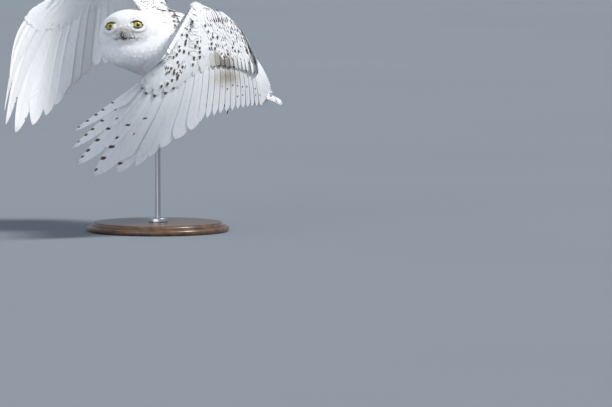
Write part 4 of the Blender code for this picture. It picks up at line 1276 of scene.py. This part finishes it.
def quill(sheaf, course, outer, inner, shaft, marks, tone, maps):
    """A flight feather: course is its line, the way to its outer vane and its upper normal."""
    line, aside, normal = course
    rows, columns = len(line), len(QUILL_COLUMNS)
    c = QUILL_COLUMNS[None]
    split = np.ones((rows, columns))
    for _ in range(rng.integers(0, 3)):
        where = rng.integers(rows * 3 // 4, rows - 6)
        split[where, :2] -= rng.uniform(0.08, 0.22) * np.array((1.0, 0.8))
    reach = c * np.where(c > 0, outer[:, None], inner[:, None]) * split
    height = QUILL_LOUVER * np.where(c > 0, c, c * 1.1) * smooth(0.0, 0.004, outer + inner)[:, None]
    ridge = bell(c, 0, SHAFT_WIDTH) * shaft[:, None]
    edge = (1 - c ** 8) * VANE_THICKNESS
    middle = line[:, None] + aside[:, None] * reach[..., None] + normal[:, None] * height[..., None]
    slant = travel(line)[:, None] - np.abs(reach) * 1.1 + rng.random() * 3
    vane = np.stack([slant, reach], axis=-1).reshape(-1, 2)
    tone = np.broadcast_to(tone, slant.shape).ravel()
    upper, lower = (ridge, marks), (ridge * 0.8, marks * LOWER_MARKS)
    for face, (raised, mark), bake in zip((1, -1), (upper, lower), maps):
        points = middle + normal[:, None] * ((edge + raised) * face)[..., None]
        guide = np.repeat(normal * face, columns, axis=0)
        sheaf.add(grid_faces(rows, columns, face < 0), points.reshape(1, -1, 3), guide, vane,
                  bake.reshape(-1, 2), mark.ravel(), tone)


def vane_spots(t, places, size, strength, wide):
    """Spots at places along both vanes of a flight feather."""
    c = np.abs(QUILL_COLUMNS)
    a = t[:, None] - 0.03 * c
    marks = sum(bell(a, place, size) for place in places)
    return marks * strength * (1 - smooth(wide, wide + 0.3, c))


def wing_quill_marks(place, t, c):
    """Brown spots along the leading edges of the outer primaries and dots on the inner secondaries."""
    outer = smooth(6.0, 3.5, place) * smooth(-0.05, 0.30, c)
    inner = smooth(12.0, 13.5, place) * smooth(23.5, 20.5, place) * bell(c, 0.30, 0.42)
    marks = np.zeros(np.broadcast(t, c).shape)
    for number, (spot, wide, force) in enumerate(EDGE_SPOTS):
        shift = 0.012 * math.sin(place * 2.1 + number * 1.7)
        marks = np.maximum(marks, bell(t - 0.014 * c, spot + shift, wide) * force * outer)
    for spot, chance in VANE_DOTS:
        force = float(rng.random() < chance) * 0.9
        marks = np.maximum(marks, bell(t, spot + rng.normal(0, 0.012), 0.013) * force * inner)
    return marks


def notch_place(number):
    """Where along a flight feather its vanes narrow: nearest the root on the outermost ones."""
    return min(CLOSED_NOTCH - (CLOSED_NOTCH - OPEN_NOTCH) * math.exp(-number / NOTCH_FADE), 0.93)


def wing_quills(side, mirror):
    """The flight feathers of one wing."""
    sheaf, flip = Sheaf(), (1, mirror, 1)
    t, c = np.linspace(0.0, 1.0, QUILL_ROWS) ** 0.9, QUILL_COLUMNS[None]
    calamus = 0.12 + 0.88 * smooth(0.0, 0.10, t)
    shaft = 0.0013 * (1 - t) ** 0.6 + 0.0001
    for place in range(PRIMARIES + SECONDARIES + TERTIALS):
        line, before, behind, outside, inside = (wing_point(np.clip(place + step, -0.5, ARM_END), t)
                                                 for step in (0, -0.5, 0.5, -1, 1))
        notch, outer_notch = (notch_place(number) for number in (place, max(0, place - 1)))
        inner = free_vane(t, notch, np.linalg.norm(inside - line, axis=1), 1.02, 0.52)
        outer = 0.006 * np.sqrt(1 - t ** 8)
        if place:
            outer = free_vane(t, outer_notch, np.linalg.norm(outside - line, axis=1), 0.42, 0.36)
        stain = bell(place, 14.0, 3.0) * bell(t, 0.62, 0.11)
        rust = smooth(5.0, 2.0, place) * smooth(0.93, 1.0, t) * 0.5
        marks = np.maximum(wing_quill_marks(place, t[:, None], c), 0.45 * stain[:, None])
        maps = [wing_chart(side, level, place + 0.45 * c, t[:, None]) for level in (1, -1)]
        aside, normal = across_line(line, before - behind), wing_normal(place, t, reach=1.0)
        course = bird(line * flip), bird_aim(aside * flip), bird_aim(normal * flip)
        tone = (stain + rust + 0.05)[:, None]
        quill(sheaf, course, outer * calamus, inner * calamus, shaft, marks, tone, maps)
    names = [name for name in FLESH_NODES if name.startswith(f"wing_{side}_")]
    sheaf.build(f"quills_{side}", STIFF, "plumage_wing", names, softness=0.35)


def free_vane(t, notch, space, joined, free):
    """Width of one vane: wide until the notch, narrower after it, round at the tip."""
    past = np.clip((t - notch) / (1 - notch), 0, 1)
    wide, narrow = space * joined, np.interp(notch, t, space) * free
    blend = smooth(notch - 0.10, notch + 0.02, t)
    before = wide * (1 - blend) + np.minimum(wide, narrow) * blend
    return np.where(t < notch, before, narrow * np.maximum(0.0, 1 - past ** 1.7) ** 0.8 + 0.0002)


def tail_line(column, t):
    """The line of a tail feather; column runs from -1 on the right to 1 on the left."""
    angle, drop = math.radians(TAIL_HALF_ANGLE) * column, math.radians(TAIL_DROOP)
    reach = TAIL_LENGTH * (1 - 0.07 * column ** 2) * t
    curve = 0.010 * (1 - column ** 2) * t
    return np.stack([TAIL_ROOT[0] - reach * math.cos(angle) * math.cos(drop),
                     0.018 * column + reach * math.sin(angle),
                     TAIL_ROOT[1] - reach * math.sin(drop) + curve], axis=1)


def tail_quills():
    """Twelve tail feathers, the middle pair on top."""
    sheaf, t = Sheaf(), np.linspace(0.0, 1.0, QUILL_ROWS)
    shaft = 0.0011 * (1 - t) ** 0.6 + 0.0001
    marks = vane_spots(t, (0.90, 0.74, 0.58), 0.016, 0.62, 0.55)
    for number in range(RECTRICES):
        column = (2 * number + 1) / RECTRICES - 1
        line = tail_line(column, t)
        space = np.linalg.norm(tail_line(column + 2 / RECTRICES, t) - line, axis=1) + 0.0005
        away = math.copysign(1.0, column)
        tilt = math.radians(VANE_TILT) * away
        aside = across_line(line, (0.0, math.cos(tilt) * away, -math.sin(tilt) * away))
        normal = across_line(line, (0.0, math.sin(tilt), math.cos(tilt)))
        joined, free = (0.30, 0.30) if abs(column) > 0.9 else (0.46, 0.50)
        outer, inner = free_vane(t, 0.945, space, joined, free), free_vane(t, 0.945, space, 1.15, 0.95)
        raised = bird(line + normal * 0.0016 * (1 - abs(column)))
        maps = [chart(("tail", level), 0.5 + column * 0.45 + 0.035 * QUILL_COLUMNS[None], t[:, None])
                for level in (1, -1)]
        quill(sheaf, (raised, bird_aim(aside), bird_aim(normal)), outer, inner, shaft, marks, 0.05, maps)
    sheaf.build("quills_tail", STIFF, "plumage_tail", ("tail",), softness=0.35)


def alula(side, mirror):
    """The thumb's four feathers, lying along the front of the hand."""
    sheaf, t = Sheaf(), np.linspace(0.0, 1.0, QUILL_ROWS)
    shaft, rounded = 0.0008 * (1 - t) ** 0.6 + 0.0001, np.sqrt(1 - t ** 4)
    marks = vane_spots(t, (0.90, 0.62), 0.05, 0.9, 0.6)
    outer = 0.0045 * rounded * smooth(0.0, 0.40, t) + 0.0002
    inner = 0.0080 * rounded * smooth(0.15, 0.65, t) + 0.0002
    for number in range(THUMB_FEATHERS):
        place = 7.9 - t * (4.9 - 0.9 * number)
        across = -0.62 + 0.20 * number + t * 0.06
        point, normal = on_wing(place, across, 1, mirror)[0], on_wing(place, -0.30, 1, mirror)[1]
        lift = 0.0022 + 0.0004 * number + 0.002 * np.sin(np.pi * t) - 0.005 * smooth(0.50, 0.0, t)
        line = point + normal * lift[:, None]
        aside = across_line(line, on_wing(place, across - 0.1, 1, mirror)[0] - point)
        maps = [wing_chart(side, level, place[:, None] + 0.2 * QUILL_COLUMNS[None], across[:, None])
                for level in (1, -1)]
        quill(sheaf, (line, aside, normal), outer, inner, shaft, marks, 0.05, maps)
    sheaf.build(f"alula_{side}", STIFF, "plumage_wing", (f"wing_{side}_alula",))


# ---- shoulder and armpit feathers -------------------------------------------------------
def solid_surface(names):
    """The surface of some solids of the model, to lay feathers over."""
    points, faces, count = [], [], 0
    for name in names:
        corners, _, triangles = read_mesh(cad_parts[name])
        points.append(corners)
        faces.append(triangles + count)
        count += len(corners)
    points = np.concatenate(points)
    return Surface(points, np.zeros_like(points), np.concatenate(faces))


def scapulars(side, mirror):
    """Long feathers from the shoulder over the join of back and wing."""
    sheaf, up = Sheaf(), bird_aim((0, 0, 0.8))
    under = solid_surface(("trunk", "neck", f"wing_{side}_upper_arm", f"wing_{side}_forearm"))
    row, share = np.repeat(np.arange(5), 9), np.tile(np.linspace(0, 1, 9), 5)
    number = len(row)
    left = (0.020 + 0.0155 * row + 0.012 * share) * mirror
    starts = np.stack([-0.045 - 0.125 * share - 0.010 * (row % 2), left, np.full(number, 0.13)], axis=1)
    roots, normals = under.nearest(bird(starts))
    normals = unit(normals + up)
    aside = mirror * (0.16 + 0.10 * row / 4)
    lies = bird_aim(np.stack([np.full(number, -0.88), aside, np.zeros(number)], axis=1))
    lies = square(lies + rng.normal(0, 0.05, lies.shape), normals)
    length = 0.050 + 0.022 * share + rng.uniform(-0.003, 0.003, number)
    ends, (_, last) = under.drape(roots, normals, lies, length, 0.001, 0.0022)
    mark = spots(BROAD, (0.92, 0.70), 0.032, (rng.random(number) < 0.8) * 0.9, 0.60)
    bake = wing_chart(side, 1, ARM_END, -share)
    lay(sheaf, BROAD, ends, (normals, unit(last + up)), 0.0105, bake, mark, 0.06, camber=0.16, ragged=0.012)
    sheaf.build(f"scapulars_{side}", SOFT, "plumage_white", ("trunk", f"wing_{side}_upper_arm"))


def axillaries(side, mirror):
    """Long soft feathers of the armpit, under the inner wing."""
    sheaf, share = Sheaf(), np.linspace(0, 1, 12)
    place = 24.6 - 4.8 * share
    root, normal = on_wing(place, -0.05, -1, mirror)
    tip, last = on_wing(place - 0.5, 0.34 + 0.10 * np.sin(np.pi * share), -1, mirror)
    middle, between = on_wing(place - 0.25, 0.16, -1, mirror)
    ends = arc(root + normal * 0.001, middle + between * 0.006, tip + last * 0.006)
    bake = wing_chart(side, -1, place, 0.0)
    lay(sheaf, BROAD, ends, (normal, last), 0.011, bake, camber=0.15, ragged=0.012)
    sheaf.build(f"axillaries_{side}", SOFT, "plumage_wing", (f"wing_{side}_upper_arm",))


# ---- eyes, bill and bristles --------------------------------------------------------------
IRIS_RADIUS = 0.0122
EYE_BULGE = 0.015                 # how much the front stands out, as a share of the eyeball's radius
LID_ROWS = ((-0.0004, 0.0001), (-0.0003, 0.0009), (0.0003, 0.0014), (0.0012, 0.0016))   # out, ahead
LID_REACH = 0.0030                # how far the lids' skin spreads round the opening
BILL_DEEP, RIDGE_PINCH = 0.72, 0.30
BRISTLES, BROW_FEATHERS = 800, 520        # on each side


def eye_frame(mirror):
    """Middle of the eyeball and its right-hand, upward and outward directions, in the head's frame."""
    flip = np.array((mirror, 1, 1))
    gaze = GAZE * flip
    upward = square(np.array((0.0, 0.0, 1.0)), gaze)
    return EYE_PLACE * flip, np.cross(upward, gaze), upward, gaze


def make_eye(side, mirror):
    """Eyeball with a bulging front and a painted iris, painted near-black where the lids cover it, as shade
    under the lids.
    """
    middle, sideways, upward, gaze = eye_frame(mirror)
    lids = np.stack([sideways, upward], axis=1)
    gaze = unit(gaze + LOOKS[mirror])
    upward = square(upward, gaze)
    sideways = np.cross(upward, gaze)
    polar = np.concatenate([np.linspace(0.02, 1.0, 26), np.linspace(1.08, 3.1, 14)])[:, None]
    turn = np.arange(64) / 64
    around = (turn * math.tau + math.pi / 2)[:, None]
    outwards = np.cos(around) * sideways + np.sin(around) * upward
    direction = np.sin(polar)[..., None] * outwards + np.cos(polar)[..., None] * gaze
    radius = EYE_RADIUS * (1 + EYE_BULGE * smooth(0.85, 0.0, polar))
    eye = solid(f"eyeball_{side}", head_place(middle + direction * radius[..., None]), EYE, "eye")
    across, up = np.moveaxis(direction @ lids, -1, 0) * EYE_RADIUS
    bare = np.hypot(across / LID_WIDE, up / np.where(up > 0, LID_HIGH, LID_LOW)) <= 1.02
    # Points the lids cover get 2, which the eye's material paints near-black as shade under the lids.
    out = np.where((polar < math.pi / 2) & bare, np.sin(polar) * EYE_RADIUS / IRIS_RADIUS, 2.0).ravel()
    give_maps(eye, np.stack([np.tile(turn * 6.0, len(polar)), out], axis=1), 0.5, out)
    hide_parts(f"eye_{side}")


def at_eye(mirror, across, up, ahead):
    """World places reckoned from the middle of an eyeball."""
    middle, *aims = eye_frame(mirror)
    return head_place(middle + np.stack(np.broadcast_arrays(across, up, ahead), axis=-1) @ np.array(aims))


def opening(angle, grow=0.0):
    """The lids' edge round the eye: across and up from its middle."""
    up = np.sin(angle)
    high = np.where(up > 0, LID_HIGH, LID_LOW) + grow
    return np.cos(angle) * (LID_WIDE + grow * 0.7), np.abs(up) ** 0.92 * np.sign(up) * high


def make_lids(side, mirror, surface):
    """Bare lids round the eye, dark skin above and painted paler below as lit."""
    angle = np.linspace(0, math.tau, 72, endpoint=False)
    above = smooth(-0.1, 0.5, np.sin(angle))
    rows = []
    for grow, lift in LID_ROWS:
        x, y = opening(angle, grow if grow < 0 else grow * (0.8 + 1.2 * above))
        flat = np.minimum(np.hypot(x, y), EYE_RADIUS * 0.96)
        deep = np.sqrt(EYE_RADIUS ** 2 - flat ** 2) + lift + above * (0.0012 if grow > 0 else 0.0003)
        rows.append(at_eye(mirror, x, y, deep))
    touch, normal = surface.nearest(at_eye(mirror, *opening(angle, LID_REACH + 0.0040 * above), 0.010))
    rows.append(rows[-1] * 0.5 + (touch + normal * 0.0022) * 0.5)
    rows += [touch + normal * 0.0012, touch - normal * 0.0015]
    points, faces = loft(np.array(rows))
    lid = outward(mesh_object(f"eyelid_{side}", points, faces[1:-1], LID, "horn_dark"))
    if np.array(lid.data.polygons[0].normal) @ HEAD @ eye_frame(mirror)[3] < 0:
        lid.data.flip_normals()
    # Tone rises towards the lower lid, where the lids are painted paler as lit.
    give_maps(lid, 0.5, 0.5, 0.0, np.tile(smooth(-0.15, -0.6, np.sin(angle)), len(rows)))
    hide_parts(f"eye_{side}")


def bill_curve(length, start_fall, droop, width, below, steps):
    """Spine points and half widths of one half of the bill, in the head's frame."""
    share = np.linspace(0, 1, steps)
    reach = length * (share - 0.45 * droop * share ** 3)
    fall = length * droop * share ** 2 + start_fall + below
    spine = BILL_PLACE + np.stack([0 * share, -reach, -fall], axis=1)
    return spine, width * (1 - 0.92 * share ** 1.6)


def make_bill():
    """Hooked upper half, with a ridge, and the lower half behind it."""
    angle = (np.arange(28) / 28 * math.tau)[:, None]
    pinch = 1 - RIDGE_PINCH * np.maximum(0, np.sin(angle)) ** 2
    across = np.array((1.0, 0.0, 0.0))
    for name, *sizes in BILL_HALVES:
        spine, widths = bill_curve(*sizes, 28)
        deep = np.cross(across, headings(spine))
        deep = deep * np.sign(deep[:, 2:])
        section = across * np.cos(angle) * pinch + deep[:, None] * np.sin(angle) * BILL_DEEP
        rings = spine[:, None] + section * widths[:, None, None]
        solid(f"{name}_horn", head_place(rings), HORN, "horn_dark", name)


def bristles(surface):
    """Stiff hair-like feathers that sweep from beside the bill over its base."""
    sheaf, number = Sheaf(), BRISTLES
    for _, mirror in SIDES:
        across = np.abs(rng.normal(0.0, 0.0095, number)) * mirror
        high = -0.010 + rng.uniform(-0.018, 0.012, number)
        starts = np.stack([across, np.full(number, -0.075), high], axis=1)
        roots, normals = surface.nearest(head_place(starts))
        goal = np.stack([across * 1.1 + 0.002 * mirror, np.full(number, -0.085), high * 0.4 - 0.031], axis=1)
        lies = unit(unit(head_place(goal) - roots) + rng.normal(0, 0.12, roots.shape))
        lies = lies * rng.uniform(0.013, 0.023, number)[:, None]
        ends = roots - normals * 0.001, roots + normals * 0.005 + lies * 0.35, roots + lies
        half = rng.uniform(0.0003, 0.0006, number)
        mark = 0.42 * rng.random((number, 1)) * smooth(0.010, 0.002, np.abs(across))[:, None]
        lay(sheaf, WISP, ends, (normals, normals), half, body_chart(roots, "head"), mark, 0.30,
            camber=0.1, ragged=0.03)
    sheaf.build("bristles", SOFT, "plumage_white", ("head",))


def brows(surface):
    """Small stiff feathers that overhang the upper lids."""
    sheaf, number = Sheaf(), BROW_FEATHERS
    for _, mirror in SIDES:
        upper = rng.random(number) < 0.3
        angle = np.where(upper, rng.uniform(0.25, 2.75, number), rng.uniform(2.9, 6.4, number))
        lower = smooth(0.1, -0.3, np.sin(angle))
        x, y = opening(angle, 0.0042 - 0.0030 * lower + rng.uniform(0, 0.0030, number))
        starts = at_eye(mirror, x * mirror, y, 0.013)
        roots, normals = surface.nearest(starts)
        lower = lower[:, None]
        outwards = unit(starts - at_eye(mirror, 0, 0, 0))
        lies = HEAD @ (0.9 * mirror, 0.0, -0.35) * (1 - lower) + outwards * lower
        lies = square(lies + rng.normal(0, 0.18, roots.shape), normals)
        lies = lies * rng.uniform(0.006, 0.009, number)[:, None]
        tip = roots + lies + normals * rng.uniform(0.0022, 0.0034, number)[:, None]
        ends = roots, roots + lies * 0.45 + normals * 0.0034, tip
        lay(sheaf, DOWNY, ends, (normals, normals), 0.0014, body_chart(roots, "head"), camber=0.1)
    sheaf.build("brows", SOFT, "plumage_white", ("head",))


def make_claws():
    """Curved black claws."""
    lines, aim, under = toe_lines()
    halves = np.interp(np.linspace(0, 1, 18), np.linspace(0, 1, len(CLAW_HALVES)), CLAW_HALVES)
    for side, mirror in SIDES:
        for name, points, heading in lines:
            curl = unit(heading + under * CLAW_CURL)
            hook = unit(curl - aim * CLAW_HOOK)
            spine = spread(points[-1] + np.array(CLAW_SPINE) @ np.array((heading, curl, hook)), 18)
            along = headings(spine)
            across = square(np.cross(under, aim), along)
            rings = ellipses(spine, across, np.cross(along, across), halves * 0.85, halves, 14)
            rings = bird(rings * (1, mirror, 1))
            solid(f"talon_{side}_{name}", rings, HORN, "horn_dark", f"claw_{side}_{name}")


# ---- stand, studio and camera ----------------------------------------------------------------
def lathe(name, profile, finish, slot, node):
    """A turned solid about the rod's axis, from (radius, height) points."""
    radius, height = np.array(profile).T
    rings = ellipses(height[:, None] * (0, 0, 1), (1, 0, 0), (0, 1, 0), radius, radius, 96)
    thing = solid(name, rings, finish, slot)
    thing.data.set_sharp_from_angle(angle=math.radians(40))
    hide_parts(node)


def bead(radius, low, high, bulge):
    """Profile points of a rounded edge."""
    turn = np.linspace(-math.pi / 2, math.pi / 2, 9)
    middle, half = (low + high) / 2, (high - low) / 2
    return [(radius - bulge + bulge * math.cos(a), middle + half * math.sin(a)) for a in turn]


def make_stand():
    """Turned wooden base, steel rod and its collar."""
    wood, steel = wood_material(), steel_material()
    hollow = [(0.1535 - 0.006 * math.sin(a), 0.016 + 0.006 * (1 - math.cos(a)))
              for a in np.linspace(0, math.pi / 2, 8)]
    foot = [(0.155, 0.0), (BASE_RADIUS - 0.003, 0.0)] + bead(BASE_RADIUS, 0.001, 0.013, 0.004)
    crown = [(0.156, 0.0135), (0.1535, 0.0145)] + hollow + [(0.06, BASE_HEIGHT), (0.001, BASE_HEIGHT)]
    lathe("base_turned", [(0.001, 0.0)] + foot + crown, wood, "wood", "stand_base")
    top = HEAD_MIDDLE[2] + SOCKET_OFFSET[2] + SOCKET_DEPTH
    shank = [(0.0005, 0.012), (ROD_RADIUS - 0.0006, 0.012)]
    shank += [(ROD_RADIUS, height) for height in (0.0126, 0.1, 0.2, top - 0.001)]
    shank += [(ROD_RADIUS - 0.0008, top), (0.0005, top)]
    lathe("rod_steel", shank, steel, "steel", "stand_rod")
    low, high = BASE_HEIGHT, BASE_HEIGHT + COLLAR_HEIGHT
    outside = [(COLLAR_RADIUS - 0.001, low), (COLLAR_RADIUS, low + 0.001), (COLLAR_RADIUS, high - 0.003),
               (COLLAR_RADIUS - 0.001, high - 0.001), (COLLAR_RADIUS - 0.004, high)]
    inside = [(ROD_RADIUS + 0.001, high), (ROD_RADIUS, high - 0.0008)]
    lathe("collar_steel", [(ROD_RADIUS, low)] + outside + inside, steel, "steel", "stand_collar")


def make_studio():
    """Floor, soft key light from the upper right, fill light and pale surroundings."""
    mesh = bpy.data.meshes.new("studio_floor")
    corners = [(x * FLOOR_HALF, y * FLOOR_HALF, 0) for x, y in ((-1, -1), (1, -1), (1, 1), (-1, 1))]
    mesh.from_pydata(corners, [], [(0, 1, 2, 3)])
    mesh.materials.append(studio_material())
    add_object("studio_floor", mesh)
    back, right = camera_directions()
    frame_axes = np.array((right, np.cross(back, right), back))
    for name, aim, strength, angle, colour in LIGHTS:
        light = bpy.data.lights.new(name, "SUN")
        light.energy, light.angle, light.color = strength, math.radians(angle), colour
        turn = Vector(aim @ frame_axes).to_track_quat("Z", "Y")
        add_object(name, light).rotation_euler = turn.to_euler()
    world = bpy.data.worlds.new("studio")
    world.use_nodes = True
    shade = world.node_tree.nodes["Background"].inputs
    shade["Color"].default_value = rgb(*SKY_COLOUR)
    shade["Strength"].default_value = SKY_STRENGTH
    bpy.context.scene.world = world
    bpy.context.scene.view_settings.view_transform = "Standard"


CAMERA_AZIMUTH, CAMERA_ELEVATION, CAMERA_DISTANCE, CAMERA_LENS = 55.0, 4.0, 12.0, 307.06
HEAD_RIGHT, HEAD_UP = -0.4069, 0.3897     # the head's place from the frame's middle, in metres
FLOOR_HALF = 90.0
LIGHTS = (                        # name, aim (right, up, back), strength, spread in degrees, colour
    ("key", (0.60, 0.75, 0.30), 3.3, 14.0, (1.0, 0.985, 0.96)),
    ("fill", (-0.45, 0.05, 0.90), 1.45, 60.0, (0.88, 0.93, 1.0)),
)
SKY_COLOUR, SKY_STRENGTH = (0.60, 0.68, 0.80), 0.55


def camera_directions():
    """The camera's backward and right-hand directions."""
    azimuth, elevation = math.radians(CAMERA_AZIMUTH), math.radians(CAMERA_ELEVATION)
    level = math.cos(elevation)
    back = np.array((math.sin(azimuth) * level, -math.cos(azimuth) * level, math.sin(elevation)))
    return back, np.array((math.cos(azimuth), math.sin(azimuth), 0.0))


def make_camera():
    """The camera, far off with a long lens."""
    back, right = camera_directions()
    upward = np.cross(back, right)
    place = HEAD_MIDDLE + back * CAMERA_DISTANCE - right * HEAD_RIGHT - upward * HEAD_UP
    data = bpy.data.cameras.new("camera")
    data.lens, data.sensor_width, data.clip_end = CAMERA_LENS, 36.0, 500.0
    camera = add_object("camera", data)
    stand = np.vstack([np.column_stack([right, upward, back, place]), (0, 0, 0, 1)])
    camera.matrix_world = Matrix(stand.tolist())
    bpy.context.scene.camera = camera


# ---- the whole owl ------------------------------------------------------------------------------
def main():
    """The whole owl on its stand, with the studio and the camera."""
    skin = make_skin(SOFT)
    surface = Surface(*read_mesh(skin))
    points = surface.points
    strength, tone = body_mark(points)
    give_maps(skin, points[:, :2], body_chart(points, regions(points)), np.minimum(strength, 0.2), tone)
    map_skin(skin)
    for coat in (coat_head, coat_trunk, coat_tail_coverts, coat_legs):
        coat(surface)
    for side, mirror in SIDES:
        for make in (coat_wing, wing_quills, alula, scapulars, axillaries, make_eye):
            make(side, mirror)
        make_lids(side, mirror, surface)
    tail_quills()
    make_bill()
    bristles(surface)
    brows(surface)
    make_claws()
    make_stand()
    make_studio()
    make_camera()


main()
